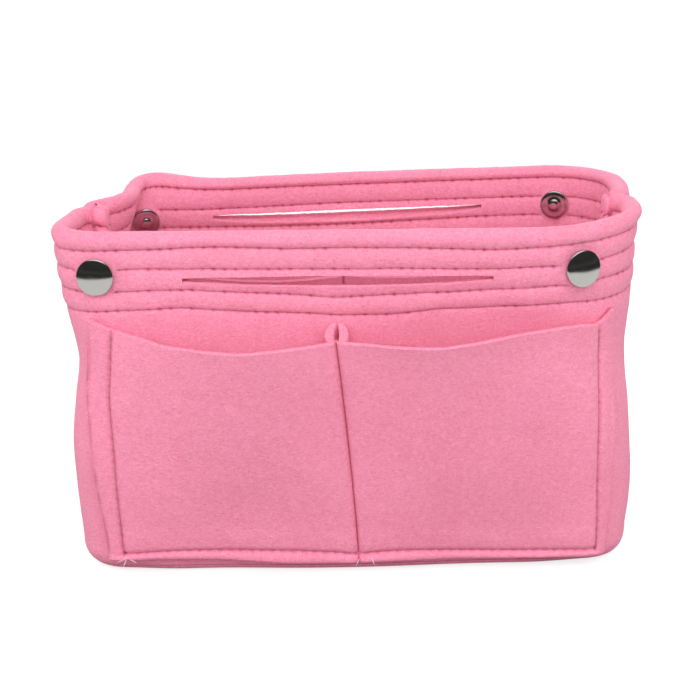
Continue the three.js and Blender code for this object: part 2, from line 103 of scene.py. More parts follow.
def treeOf(block):
    # add makes a node with its settings and inputs, and feed links or sets one input
    block.use_nodes = True
    tree = block.node_tree

    def feed(socket, value):
        if isinstance(value, bpy.types.NodeSocket):
            tree.links.new(value, socket)
        else:
            socket.default_value = value

    def add(kind, inputs=None, **settings):
        node = tree.nodes.new("ShaderNode" + kind)
        for key, value in settings.items():
            setattr(node, key, value)
        for key, value in (inputs or {}).items():
            feed(node.inputs[key], value)
        return node

    return tree.nodes, add, feed


def setStops(node, stops):
    elements = node.color_ramp.elements
    for number, (position, color) in enumerate(stops):
        element = elements[number] if number < 2 else elements.new(position)
        element.position, element.color = position, (*color, 1)
    return node.outputs["Color"]


def feltMaterial(name, look, shade=1.0):
    material = bpy.data.materials.new(name)
    nodes, add, feed = treeOf(material)
    shader = nodes["Principled BSDF"]
    place = add("Attribute", attribute_name="feltPlace").outputs["Vector"]
    needleShade = add("Attribute", attribute_name="needleShade").outputs["Fac"]

    def noise(size, detail, roughness, distortion=0.0, stretch=(1, 1, 1), turn=0.0):
        mapping = add("Mapping", {"Vector": place, "Scale": stretch, "Rotation": (0, turn, turn)})
        return add("TexNoise", {"Vector": mapping.outputs[0], "Scale": 1 / size, "Detail": detail,
                                "Roughness": roughness, "Distortion": distortion}).outputs["Fac"]

    def calculate(operation, *values):
        return add("Math", dict(enumerate(values)), operation=operation).outputs[0]

    def mixed(first, second, share):
        return calculate("MULTIPLY_ADD", first, share, calculate("MULTIPLY", second, 1 - share))

    fibre = noise(look["fibreSize"], 3.0, 0.6, 0.6)
    strandA = noise(look["fibreSize"] * 0.9, 2.0, 0.5, 1.2, (1, 1, 0.3), 0.5)
    strandB = noise(look["fibreSize"] * 0.9, 2.0, 0.5, 1.2, (0.3, 1, 1), -0.4)
    tuft = noise(look["tuftSize"], 3.0, 0.55, 0.0, (0.7, 1, 1))
    cloud = noise(look["cloudSize"], 3.0, 0.5)
    fluff = mixed(calculate("MAXIMUM", strandA, strandB), fibre, look["strandShare"])
    grain = mixed(tuft, fluff, look["tuftShare"])
    tone = calculate("MULTIPLY_ADD", cloud, look["cloudShare"], grain)

    # painted highlight and shade: the loose colour at the top of the grain stands for single fibres that
    # stand up and catch more light, a shade below 1 paints a darker, shaded copy of the felt, and needleShade
    # paints shade into needle holes, stitch rows, seams, the divider's groove and along a raw edge
    colors = [[min(1.0, c * shade) for c in look[key]] for key in ("deep", "light", "loose")]
    tint = setStops(add("ValToRGB", {"Fac": tone}), zip(look["stops"], colors))
    withPaintedShade = add("Mix", {"Factor": needleShade, 6: tint, 7: (*look["needleShade"], 1)}, data_type="RGBA")
    relief = add("Bump", {"Strength": look["relief"], "Distance": look["bumpHeight"], "Height": grain})
    surface = {**look["surface"], "Base Color": withPaintedShade.outputs[2], "Normal": relief.outputs["Normal"]}
    for key, value in surface.items():
        feed(shader.inputs[key], value)
    return material


def nickelMaterial(name, look):
    material = bpy.data.materials.new(name)
    nodes, add, feed = treeOf(material)
    place = add("TexCoord").outputs["Object"]
    wear = add("TexNoise", {"Vector": place, "Scale": 1 / look["wearSize"], "Detail": 4.0}).outputs["Fac"]
    smoothest, dullest = look["roughness"]
    gloss = add("MapRange", {"Value": wear, "To Min": smoothest, "To Max": dullest}).outputs["Result"]
    worn = [c * look["worn"] for c in look["color"]]
    tint = setStops(add("ValToRGB", {"Fac": wear}), ((0, worn), (1, look["color"])))
    relief = add("Bump", {"Strength": look["relief"], "Distance": look["bumpHeight"], "Height": wear})
    surface = {"Metallic": 1.0, "Roughness": gloss, "Base Color": tint, "Normal": relief.outputs["Normal"]}
    for key, value in surface.items():
        feed(nodes["Principled BSDF"].inputs[key], value)
    return material


felt = feltMaterial("pinkFelt", feltLook)
# the felt inside the organizer is a darker copy of the same felt: painted shade
feltShadedInside = feltMaterial("pinkFeltShadedInside", feltLook, 0.96)
# the thread is the felt's pink, darkened with painted shade of the sunken stitch rows
thread = feltMaterial("pinkThreadShaded", {**feltLook, "fibreSize": 0.00018, "tuftSize": 0.0005}, 0.68)
threadEnd = feltMaterial("paleThread", {**feltLook, "light": (1.0, 0.74, 0.80), "deep": (0.95, 0.58, 0.66)})
nickel = nickelMaterial("polishedNickel", nickelLook)
print("materials ready")


# meshes from points
def meshPiece(name, points, faces, material, places, needleShade=None, angle=50):
    faceArrays = [np.asarray(f, np.int64).reshape(-1, len(f[0])) for f in faces if len(f)]
    centre = points.mean(0)
    volume = 0.0
    for polygons in faceArrays:  # fans from each face's first corner give the signed volume
        for k in range(1, polygons.shape[1] - 1):
            a, b, c = (points[polygons[:, i]] - centre for i in (0, k, k + 1))
            volume += np.einsum("ij,ij->i", a, np.cross(b, c)).sum()
    if volume < 0:
        faceArrays = [polygons[:, ::-1] for polygons in faceArrays]
    mesh = bpy.data.meshes.new(name)
    mesh.from_pydata((points / 1000).tolist(), [], [f for polygons in faceArrays for f in polygons.tolist()])
    mesh.polygons.foreach_set("use_smooth", np.ones(len(mesh.polygons), bool))
    # needleShade holds how much painted shade lies on each point
    needleShade = np.zeros(len(points)) if needleShade is None else needleShade
    for key, kind, field, values in (("feltPlace", "FLOAT_VECTOR", "vector", places / 1000),
                                     ("needleShade", "FLOAT", "value", needleShade)):
        layer = mesh.attributes.new(key, kind, "POINT")
        layer.data.foreach_set(field, values.astype(np.float32).ravel())
    mesh.update()
    mesh.set_sharp_from_angle(angle=math.radians(angle))
    mesh.materials.append(material)
    piece = bpy.data.objects.new(name, mesh)
    bpy.context.scene.collection.objects.link(piece)
    return piece


def gridFaces(at, closedAcross=False):
    rows, columns = at.shape
    i = np.arange(rows - 1)[:, None]
    k = np.arange(columns if closedAcross else columns - 1)[None, :]
    after = (k + 1) % columns
    return np.stack([at[i, k], at[i, after], at[i + 1, after], at[i + 1, k]], -1).reshape(-1, 4)


cutEdge = {"shares": (0.12, 0.32, 0.5, 0.68, 0.88), "reaches": (0.55, 0.9, 1.0, 0.9, 0.55), "fuzz": 7}


def sheetPiece(name, near, far, places, needleShade, material, rough=0.14, soft=0.45, seed=5, edgeShadow=None):
    # near and far are grids of points, and the cut edge between them is rounded and a little ragged
    at = np.arange(near[..., 0].size).reshape(near.shape[:2])
    rim = np.concatenate([at[0, :-1], at[:-1, -1], at[-1, :0:-1], at[:0:-1, 0]])
    inside = np.concatenate([at[1, :-1], at[:-1, -2], at[-2, :0:-1], at[:0:-1, 1]])
    near, far, places, needleShade = (grid.reshape(at.size, -1) for grid in (near, far, places, needleShade))
    needleShade = needleShade[:, 0]
    middle = (near + far) / 2
    push = unit(middle[rim] - middle[inside])
    ragged = 1 + rough / soft * scatter(len(rim), seed)[:, None]
    shares, shift = cutEdge["shares"], np.array([0, 0, 2.5])
    edges = [between(near[rim], far[rim], s) + push * soft * r * (ragged if 0.2 < s < 0.8 else 1)
             for s, r in zip(shares, cutEdge["reaches"])]
    allPlaces = [places, places + shift, *[places[rim] + shift * s + (0, 0.4, 0) for s in shares]]
    # the cut edge's own rings carry painted shadow where edgeShadow gives it
    rimShadow = np.zeros(len(rim)) if edgeShadow is None else edgeShadow.reshape(-1)[rim]
    allNeedleShade = [needleShade * 0, needleShade, *[rimShadow for _ in shares]]
    edgeRings = [2 * at.size + j * len(rim) + np.arange(len(rim)) for j in range(len(shares))]
    rings = [rim, *edgeRings, rim + at.size]
    faces = [gridFaces(at), gridFaces(at + at.size)[:, ::-1], gridFaces(np.stack(rings), True)[:, ::-1]]
    piece = meshPiece(name, np.concatenate([near, far, *edges]), faces, material, np.concatenate(allPlaces),
                      np.concatenate(allNeedleShade))
    strip = np.stack([near[rim], *edges[1:4], far[rim]], 1)
    growFuzz(name + "Fuzz", strip, np.repeat(push[:, None, :], 5, 1), cutEdge["fuzz"], seed)
    return piece


fuzz = {
    "radius": 0.045, "shortest": 0.22, "longest": 0.8, "lean": 0.5, "root": 0.07, "turns": (0, 2.1, 4.2),
    "onRim": 9, "onFin": 6,  # fibres for each millimetre
}
loose = []  # fuzz that has still to be given to its body


def growFuzz(name, grid, normals, density, seed):
    # loose fibres, each a closed spike of four faces, standing on a strip of felt
    random = np.random.default_rng(seed)
    rows, columns = grid.shape[:2]
    travelled = np.cumsum(np.linalg.norm(np.diff(grid[:, columns // 2], axis=0), axis=1))
    travelled = np.concatenate([[0], travelled])
    count = int(travelled[-1] * density)
    along = np.interp(random.uniform(0, travelled[-1], count), travelled, np.arange(rows))
    across = random.uniform(0, columns - 1, count)
    i, k = np.minimum(along.astype(int), rows - 2), np.minimum(across.astype(int), columns - 2)
    a, b = (along - i)[:, None], (across - k)[:, None]
    root = between(between(grid[i, k], grid[i + 1, k], a), between(grid[i, k + 1], grid[i + 1, k + 1], a), b)
    upright = unit(between(normals[i, k], normals[i, k + 1], b))
    direction = unit(upright + fuzz["lean"] * random.normal(size=(count, 3)))
    length = between(fuzz["shortest"], fuzz["longest"], random.uniform(0, 1, count) ** 1.8)[:, None]
    first = unit(np.cross(direction, (0.3, 0.5, 0.81)))
    second = np.cross(direction, first)
    base = root - fuzz["root"] * direction
    corners = [base + fuzz["radius"] * (math.cos(t) * first + math.sin(t) * second) for t in fuzz["turns"]]
    points = np.stack([*corners, root + direction * length], 1).reshape(-1, 3)
    faces = np.array([(0, 2, 1), (0, 1, 3), (1, 2, 3), (2, 0, 3)])[None] + 4 * np.arange(count)[:, None, None]
    piece = meshPiece(name, points, [faces.reshape(-1, 3)], felt, points, angle=60)
    loose.append(piece)


def rideAll(body, *pieces):
    together = [*pieces, *loose]
    for piece in together:
        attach(piece, body)
    loose.clear()
    return together


# the shell's form
shell = {
    "height": 122.0, "rimWidth": 200.0, "rimDepthLeft": 83.0, "rimDepthRight": 93.0,
    "waist": (190.0, 86.0), "belly": (196.0, 86.0), "base": (193.0, 84.0),
    "bandFoot": 92.0, "waistLevel": 75.0, "bellyLevel": 41.5, "wallFoot": 2.8,
    "cornerRadius": 16.0, "roll": 8.0, "innerRoll": 5.5, "tightRoll": 4.6, "thick": 2.5, "gap": 0.3,
    "seamRadius": 6.3, "seamAllowances": (5.6, 3.0), "seamDrop": 2.4, "baseAllowance": 7.0, "tuckLevel": 5.4,
    "dents": (4.0, 2.0), "dentSpread": 18.0, "drawRun": 14.0,
    "rows": (116.4, 109.4, 102.4, 95.4), "rowSpacing": 7.0, "pinch": 0.5, "puff": 0.42, "rimPuff": 0.62,
    "quiltEnds": (4.0, 2.6), "stitch": 3.6, "snapLevel": 107.4, "cut": (0.148, 0.164),
    "slotLips": (105.3, 106.4), "slotEnds": (-53.5, 47.5), "lipDrop": 1.8, "lipDropFrom": (102.5, 2.4),
    "slotEdges": (0.35, 0.3), "rimRoll": (3.12, 3.2),
    "rimWave": 0.35, "waveFrom": (97, 20), "waveFade": (100, 25), "tightFade": (58, 28),
}
# nudges: distance, reach, level, reach, then how far the felt moves each way
nudgeWays = {"across": 4, "out": 5, "up": 6}
endNudges = (
    (112, 24, 90, 15, 1.7, 0, 0), (112, 24, 42, 13, -1.1, 0, 0), (112, 24, 7, 8, -1.8, 0, 0),
    (-106, 20, 76, 8, 0.9, 0, 0),
)
straight = ((0,), (0,))
frontLip = ((-70, -53, -20, 0, 20, 47, 62), (0.2, 0.1, -0.2, -0.3, -0.1, 0.3, 0.5))
backLip = ((0,), (-2.1,))
# drifts: how far each row and lip runs below its level, along the half
halves = {
    "front": {
        "sign": -1, "bows": (-3.0, 6.0), "radii": (20.0, 38.0), "draw": 0.0, "sag": 3.1, "seed": 0.0,
        "nudges": (*endNudges, (108, 15, 124, 8, 2.3, 0.4, 0), (-10, 62, 0, 24, 0, 1.5, 0),
                   (40, 28, 0, 20, 0, -1.3, 0), (-47, 20, 0, 20, 0, -0.9, 0)),
        "drifts": {
            84.0: straight,
            95.4: ((-93, -84, -78, -72, -42, -24, -12, -3, 6, 15, 30, 38, 47, 59, 71, 78, 85, 96),
                   (0.9, 0.2, -0.3, -0.2, -1.0, -1.4, -1.4, -0.6, -0.7, -0.4, -1.4, -0.5, 0.2, 0.1, -0.3, 0.3,
                    0.9, 1.1)),
            102.4: ((-91, -78, -48, -24, -12, -3, 6, 24, 35, 44, 57, 68, 85, 95),
                    (0.6, 0.35, 0, -0.1, 0.6, 1.2, 0.6, 0.35, 0.7, 1.05, 1.0, 0.3, 0.2, 0.6)),
            105.3: frontLip,
            106.4: frontLip,
            109.4: ((-90, -71, -40, -18, 0, 18, 30, 44, 53, 65, 85, 94),
                    (0.35, -0.3, 0, 0.2, 0.4, 0.3, 0.7, 1.0, 0.9, 0.4, 0.5, 0.2)),
            116.4: ((-99, -83, -65, -53, -44, -32, -20, 0, 12, 24, 33, 44, 53, 62, 77, 94),
                    (1.0, 0.5, 0.2, -0.5, -0.7, -0.35, 0.2, 0, 0.2, 0.5, 0.9, 1.3, 1.4, 0.8, 0.4, 0.5)),
            122.0: straight,
        },
    },
    "back": {
        "sign": 1, "bows": (-8.0, 4.0), "radii": (28.0, 30.0), "draw": 9.0, "sag": 0.9, "seed": 2.4,
        "nudges": (*endNudges, (-109, 10, 124, 28, 8.2, 0, 0), (-97, 6.5, 125, 12, 2.8, 0, 0),
                   (-80.5, 16.6, 125, 9, 0, 5.8, 2.1), (-125, 8, 125, 9, 1.8, 2.2, 0)),
        "drifts": {
            84.0: straight,
            95.4: ((-60, 0, 60), (-1.2, -1.6, -1.3)),
            102.4: ((-60, 0, 60), (-1.6, -1.3, -1.7)),
            105.3: backLip,
            106.4: backLip,
            109.4: ((-60, 0, 60), (-1.4, -1.7, -1.6)),
            116.4: ((-60, 0, 60), (-1.8, -1.5, -1.7)),
            122.0: straight,
        },
    },
}
creases = np.random.default_rng(4).uniform(-1, 1, (14, 3))
softness = {
    "swell": 0.42, "calmInBand": 0.55, "pucker": 0.085, "lumps": (0.05, 0.13),
    "footFade": (8, 22), "seamFade": (104, 10),
}


def rimShareAt(z):
    return easeIn(z, shell["waistLevel"], shell["height"] - shell["waistLevel"])


def halfSpanAt(z, axis, rim):
    # half the width or depth at a level, through base, belly, waist and rim
    base, belly, waist = (shell[key][axis] for key in ("base", "belly", "waist"))
    roll, bellyLevel, waistLevel = shell["roll"], shell["bellyLevel"], shell["waistLevel"]
    low = between(base, belly, easeIn(z, roll, bellyLevel - roll))
    middle = between(belly, waist, easeIn(z, bellyLevel, waistLevel - bellyLevel))
    high = between(waist, rim, rimShareAt(z))
    return np.where(z < bellyLevel, low, np.where(z < waistLevel, middle, high)) / 2


def stretchesAt(half, side, z):
    # lengths of face, corner, end, fold and allowance from the middle of a half to its raw edge
    rimRadius = np.where(side < 0, half["radii"][0], half["radii"][1])
    radius = between(shell["cornerRadius"], rimRadius, np.clip(z / shell["height"], 0, 1))
    width = halfSpanAt(z, 0, shell["rimWidth"])
    depth = halfSpanAt(z, 1, (shell["rimDepthLeft"] + shell["rimDepthRight"]) / 2)
    end = depth - radius - shell["seamRadius"] - shell["gap"] / 2
    fold = shell["seamRadius"] * math.pi / 2 + 0 * z
    allowance = np.where(side < 0, *shell["seamAllowances"]) + 0 * z
    return radius, width, depth, (width - radius, radius * math.pi / 2, end, fold, allowance)


def nudgeAt(half, z, distance, way):
    column = nudgeWays[way]
    nudges = [n for n in half["nudges"] if n[column]]
    return sum(n[column] * bump(distance - n[0], n[1]) * bump(z - n[2], n[3]) for n in nudges)


def outlineAt(half, z, distance):
    side = np.where(distance < 0, -1.0, 1.0)
    radius, width, depth, (face, corner, end, fold, _) = stretchesAt(half, side, z)
    rest = np.abs(distance)
    seam = shell["seamRadius"]
    cornerTurn = np.clip(rest - face, 0, corner) / radius
    onEnd = np.clip(rest - face - corner, 0, end)
    foldTurn = np.clip(rest - face - corner - end, 0, fold) / seam
    inSeam = np.maximum(rest - face - corner - end - fold, 0)
    x = np.minimum(rest, face) + radius * np.sin(cornerTurn) - seam * (1 - np.cos(foldTurn)) - inSeam
    x = side * x
    out = depth - radius * (1 - np.cos(cornerTurn)) - onEnd - seam * np.sin(foldTurn)
    along, outShare, rimShare = x / width, np.clip(out / depth, 0, 1), rimShareAt(z)
    left, right = shell["rimDepthLeft"], shell["rimDepthRight"]
    widening = (right - left) / (right + left) * rimShare * outShare * along
    bow = between(*half["bows"], smooth((along + 1) / 2)) * (1 - along**2)
    bow = bow * between(0.3, 1, rimShare) * outShare
    dent = np.where(x < 0, *shell["dents"]) * bump(out, shell["dentSpread"])
    draw = half["draw"] * smooth(out / shell["drawRun"]) * smooth(-along) * rimShare
    x = x - np.sign(x) * dent + draw + nudgeAt(half, z, distance, "across")
    return x, out * (1 + widening) + bow + nudgeAt(half, z, distance, "out")


def softnessAt(half, z, distance):
    # slow swells of hand-sewn felt and small uneven lumps, none at the base and the end seams
    p = half["seed"]
    lumps = sum(np.sin(distance * (1.15 * a + 0.3) + z * (0.85 * b) + 9 * c + p) for a, b, c in creases)
    swell = np.sin(distance / 19 + 1.7 * p + 0.8 * np.sin(z / 24 + p)) * np.cos(z / 21 - p)
    swell = swell + 0.6 * np.sin(distance / 9.5 - p + z / 17) * np.sin(z / 13 + 2 * p)
    pucker = np.sin(distance / 3.1 + 2 * np.sin(distance / 11 + p) + z / 9)
    pucker = pucker + np.sin(distance / 5.3 - z / 6 + p)
    inBand = easeIn(z, shell["bandFoot"] - 2, 5)
    fade = easeIn(z, *softness["footFade"]) * (1 - easeIn(np.abs(distance), *softness["seamFade"]))
    swell = softness["swell"] * swell * (1 - softness["calmInBand"] * inBand)
    lumps = between(*softness["lumps"], inBand) * lumps / len(creases) ** 0.5
    return fade * (swell + softness["pucker"] * pucker * inBand + lumps)


def rollInset(z, radius=8.0, top=8.0):
    below = np.clip(top - z, 0, radius)
    return radius - np.sqrt(radius**2 - below**2)


def shellPoint(half, z, distance, inward):
    before, after = (outlineAt(half, z, distance + step) for step in (-0.3, 0.3))
    x, out = outlineAt(half, z, distance)
    run = np.hypot(after[0] - before[0], after[1] - before[1])
    # away from the corners the shell turns under in a tighter roll
    onStraight = 1 - easeIn(np.abs(distance), *shell["tightFade"])
    tighter = (rollInset(z) - rollInset(z, shell["tightRoll"], shell["tightRoll"])) * onStraight
    depth = inward - softnessAt(half, z, distance) - tighter
    x = x + (after[1] - before[1]) / run * depth
    out = out - (after[0] - before[0]) / run * depth
    # the rim's height waves a little
    wave = shell["rimWave"] * np.sin(distance / 23 + half["seed"])
    lift = wave * easeIn(z, *shell["waveFrom"]) * (1 - easeIn(np.abs(distance), *shell["waveFade"]))
    lift = lift + nudgeAt(half, z, distance, "up")
    return np.stack(np.broadcast_arrays(x, half["sign"] * out, z + lift), -1)


softLine = {"reach": 104, "step": 0.5, "spread": 3.0, "beside": 14}


def alongAt(table, distance):
    # values read off along the half, joined by a soft line
    reach, step, beside = (softLine[key] for key in ("reach", "step", "beside"))
    fine = np.linspace(-reach, reach, int(2 * reach / step) + 1)
    rough = np.pad(np.interp(fine, *table), beside, mode="edge")
    kernel = bump(np.arange(-beside, beside + 1) * step, softLine["spread"])
    return np.interp(distance, fine, np.convolve(rough, kernel / kernel.sum(), "valid"))


def inSlotReach(distance):
    first, last = shell["slotEnds"]
    return np.clip(1 - ((distance - (first + last) / 2) / ((last - first) / 2)) ** 2, 0, 1)


sagging = {"atLip": 0.62, "underLip": 9.7, "wallFrom": (38, 57), "driftFade": (98, 16)}


def sagAt(half, z, distance):
    # the weight of the band below the slot pulls it down in the middle, and the rows drift
    under = between(sagging["atLip"], 1, smooth((shell["slotLips"][0] - z) / sagging["underLip"]))
    share = np.where(z > shell["rows"][3], under, easeIn(z, *sagging["wallFrom"]))
    share = np.where(z > sum(shell["slotLips"]) / 2, 0, share)
    levels, drift = list(half["drifts"]), 0 * distance
    for number, table in enumerate(half["drifts"].values()):
        drift = drift + np.interp(z, levels, np.eye(len(levels))[number]) * alongAt(table, distance)
    drift = drift * (1 - easeIn(np.abs(distance), *sagging["driftFade"]))
    return half["sag"] * inSlotReach(distance) * share + drift


def lipDropAt(z, distance, depth):
    # the layer behind hangs lower in the slot's lower lip
    below = easeIn(z, *shell["lipDropFrom"]) * (z < sum(shell["slotLips"]) / 2)
    return shell["lipDrop"] * inSlotReach(distance) ** 0.5 * below * np.clip(depth / 5, 0.1, 1)


def quiltAt(z):
    # outward offset of the band's surface: pinched at each row, puffed between the rows
    rows, pinch = shell["rows"], shell["pinch"]
    below, above = shell["quiltEnds"]

    def pillow(away, reach, height):
        return float(-pinch + (pinch + height) * (1 - (1 - np.clip(away / reach, 0, 1)) ** 2) ** 0.7)

    if z < rows[-1]:
        return pillow(rows[-1] - z, below, 0)
    if z > rows[0]:
        return pillow(z - rows[0], above, shell["rimPuff"])
    return pillow(min(abs(z - row) for row in rows), shell["rowSpacing"] / 2, shell["puff"])


snap = {
    "distances": (-83.5, 77.0), "sides": 48, "tilts": (0.0, 9.0), "capOffset": 0.75, "pressDepth": 1.6,
    # depth, reach and fade of the pressed felt outside and inside, then of the painted shade at the needle
    # holes
    "outside": (-0.12, 6.2, 3.6), "inside": (5.9, 4.2, 3.4), "holes": (0.0, 7.0, 1.0), "bandReach": 13,
    # radius and height of each ring
    "cap": ((5.3, 0.15), (6.0, -0.35), (6.36, -0.1), (6.42, 0.35), (6.24, 0.78), (5.86, 1.05), (5.4, 1.22),
            (4.7, 1.52), (3.9, 1.83), (2.95, 2.1), (2.0, 2.28), (1.0, 2.37), (0.3, 2.4)),
    "socket": ((4.6, -0.9), (5.1, -0.6), (5.3, -0.1), (5.25, 0.6), (4.9, 1.05), (4.3, 1.2), (3.9, 1.25),
               (3.72, 1.6), (3.7, 2.7), (3.5, 3.1), (3.1, 3.2), (2.5, 3.15), (2.2, 2.9), (2.15, 2.2),
               (2.15, 0.8), (1.9, 0.62), (0.4, 0.6)),
    "stud": ((4.6, -0.9), (5.1, -0.6), (5.3, -0.1), (5.25, 0.6), (4.9, 1.05), (4.3, 1.2), (3.2, 1.2),
             (2.3, 1.3), (1.75, 1.6), (1.6, 2.1), (1.7, 2.45), (1.95, 2.75), (1.9, 3.1), (1.5, 3.36),
             (0.9, 3.4), (0.3, 3.4)),
}


def snapSeat(half, side):
    distance, z = ofSide(snap["distances"], side), shell["snapLevel"]
    face, beside, above = (shellPoint(half, np.array(z + up, float), np.array(distance + on, float), 0.0)
                           for up, on in ((0, 0), (0, 0.9), (0.9, 0)))
    return face, unit(np.cross(beside - face, above - face) * -half["sign"])


def pressedAt(half, point, value, rest, reach, fade, tilted=0.0):
    # felt pressed flat round the snaps
    for side, tilt in zip((-1, 1), snap["tilts"]):
        seat, _ = snapSeat(half, side)
        away = np.linalg.norm(point - seat, axis=-1)
        leaning = rest + tilted * (point[..., 2] - seat[2]) * math.tan(math.radians(tilt))
        value = between(value, leaning, 1 - smooth((away - reach) / fade))
    return value


# thread
threadSize = {"radius": 0.24, "sink": 0.34, "lift": 0.06}
threadForm = {"sides": 6, "length": 0.9, "cuts": (-0.3, 0.0, 0.3), "taper": 0.35}


def modelStitch():
    bpy.ops.object.select_all(action="DESELECT")
    lyingDown = (0, math.pi / 2, 0)
    bpy.ops.mesh.primitive_cylinder_add(vertices=threadForm["sides"], radius=1, depth=1, rotation=lyingDown)
    stitch = bpy.context.object
    bpy.ops.object.transform_apply(location=False, rotation=True, scale=False)
    bpy.ops.object.mode_set(mode="EDIT")
    for cut in threadForm["cuts"]:
        bpy.ops.mesh.select_all(action="SELECT")
        bpy.ops.mesh.bisect(plane_co=(cut, 0, 0), plane_no=(1, 0, 0))
    bpy.ops.mesh.select_all(action="SELECT")
    bpy.ops.mesh.quads_convert_to_tris()
    bpy.ops.mesh.normals_make_consistent(inside=False)
    bpy.ops.object.mode_set(mode="OBJECT")
    points = np.array([v.co for v in stitch.data.vertices])
    faces = np.array([list(p.vertices) for p in stitch.data.polygons])
    bpy.data.objects.remove(stitch, do_unlink=True)
    return points, faces


stitchShape = modelStitch()


def sewThreads(name, threads, size=threadSize, look=thread):
    # a thread is its start, its end and the way up, and its ends sink into the felt
    shape, faces = stitchShape
    starts, ends, up = (np.array([t[part] for t in threads]) for part in range(3))
    up = unit(up)
    length = np.linalg.norm(ends - starts, axis=1)
    along = unit(ends - starts)
    across = unit(np.cross(up, along))
    toEnd = 2 * np.abs(shape[:, 0])
    sunk = size["lift"] - size["sink"] * toEnd**3
    thin = (1 - threadForm["taper"] * toEnd**4) * size["radius"]
    points = ((starts + ends)[:, None, :] / 2
              + along[:, None, :] * (shape[None, :, 0] * length[:, None] * threadForm["length"])[..., None]
              + across[:, None, :] * (shape[:, 1] * thin)[None, :, None]
              + up[:, None, :] * (shape[:, 2] * thin + sunk)[None, :, None]).reshape(-1, 3)
    allFaces = faces[None] + (np.arange(len(threads)) * len(shape))[:, None, None]
    return meshPiece(name, points, [allFaces.reshape(-1, 3)], look, points, angle=60)


def stitchesOn(line, up):
    return [(line[i], line[i + 1], up[i]) for i in range(len(line) - 1)]


def holeAt(run, reach):
    # 1 where the needle went in, at every stitch of a seam
    half = shell["stitch"] / 2
    return bump((run + half) % shell["stitch"] - half, reach)


# shell quarters
quarter = {
    "stationsPerStitch": 4, "wallStep": 2.3, "innerStep": 3.2,
    "blendFoot": (4.0, 8.0), "blendTop": (40.0, 122.0), "foldRun": 29,
    # depth in the slot, and how far the lip is set back there
    "lip": ((0.35, 0.0), (0.9, -0.06), (2.0, -0.02), (2.5, 0.45), (3.0, -0.02), (4.1, -0.06), (4.65, 0.0)),
    "lipRagged": 0.07,
}
quilting = {
    # hole and line give the painted shade at each needle hole and the painted shadow line along each row
    "hole": 0.85, "pull": 0.3, "holeReaches": (0.75, 0.5), "line": (0.26, 0.1), "lineReach": 0.35,
    "tugs": (0.6, 0.4), "freeOfSnap": {1: 8.2, -1: 7.0},
    "shadeSpots": ((84.5, 94.0), (84.0, 90.6), (82.6, 92.2)), "shadeSpot": 0.7, "shadeSpotReach": 0.9,
}
fin = {
    "crease": 0.9, "creaseReach": 0.7, "roundEnd": 1.8, "endDrop": 1.6, "trimFrom": (96, 20),
    "seamLevels": (16.0, 119, 3.4), "seamDepths": (2.55, 5.3),
}


def stationShares(half, side):
    # shares of every stretch at each station, with whole stitches in face and corner
    lengths = [float(s) for s in stretchesAt(half, side, np.array(shell["slotLips"][0]))[3]]
    rows = [[0, 0, 0, 0, 0]]
    for stretch, length in enumerate(lengths):
        steps = max(1, round(length / shell["stitch"])) * quarter["stationsPerStitch"]
        rows += [[1] * stretch + [step / steps] + [0] * (4 - stretch) for step in range(1, steps + 1)]
    return np.array(rows, float)


def distanceAt(half, side, shares, z):
    lengths = stretchesAt(half, side, z)[3]
    return side * sum(shares[..., j] * lengths[j] for j in range(5))


def besideSlot():
    # levels of the felt just below and just above the slot
    (lower, upper), (below, above) = shell["slotLips"], shell["slotEdges"]
    return lower - below, upper + above


def wallSection():
    # closed section of a wall: inward depth, level, and the face it belongs to, which is
    # 1 outside, -1 inside, 0 neither, and more than 1.5 in the tuck under the base
    thick, inner = shell["thick"], shell["innerRoll"]
    points = [(rollInset(z), z, 0) for z in (shell["wallFoot"], 3.2, 3.8, 4.6, 5.6, 6.7)]
    foot, top = shell["bandFoot"], shell["height"]
    points += [(0, z, 0) for z in np.arange(8.0, foot - 3.5, quarter["wallStep"])]
    band = [foot - 2.4, foot - 0.6, foot + 0.9, foot + 1.6]
    for row in reversed(shell["rows"]):
        band += [row + step for step in (-1.7, -1.1, -0.65, -0.3, 0, 0.3, 0.65, 1.1, 1.7)]
        if row == shell["rows"][2]:
            band += [row + 2.2, *besideSlot()]
        elif row == shell["rows"][0]:
            band += [top - 3.6]
        else:
            band += [row + 2.6, row + 3.5, row + 4.4]
    points += [(-quiltAt(z), z, 1) for z in band]
    turns, (across, up) = np.linspace(0, math.pi, 15), shell["rimRoll"]
    points += [(thick - across * math.cos(t), top - up + up * math.sin(t), 0) for t in turns]
    points += [(2 * thick + quiltAt(z), z, -1) for z in reversed(band[1:])]
    points += [(4.75, foot - 1.0, 0), (4.2, foot - 1.15, 0), (3.1, foot - 1.15, 0), (thick, foot - 1.25, 0)]
    points += [(thick, z, 0) for z in np.arange(foot - 3.5, 9, -quarter["innerStep"])]
    points += [(thick + rollInset(z, inner), z, 0) for z in (8.0, 7.0, 6.2, shell["tuckLevel"])]
    corner, allowance = thick + rollInset(shell["tuckLevel"], inner), shell["baseAllowance"]
    tuck = ((0.3, 5.3), (0.65, 5.3), (0.97, 5.2), (1.03, 4.1), (0.97, 2.9), (0.5, 2.8))
    points += [(corner + s * allowance, z, 2 + s) for s, z in tuck]
    return np.array(points, float).T


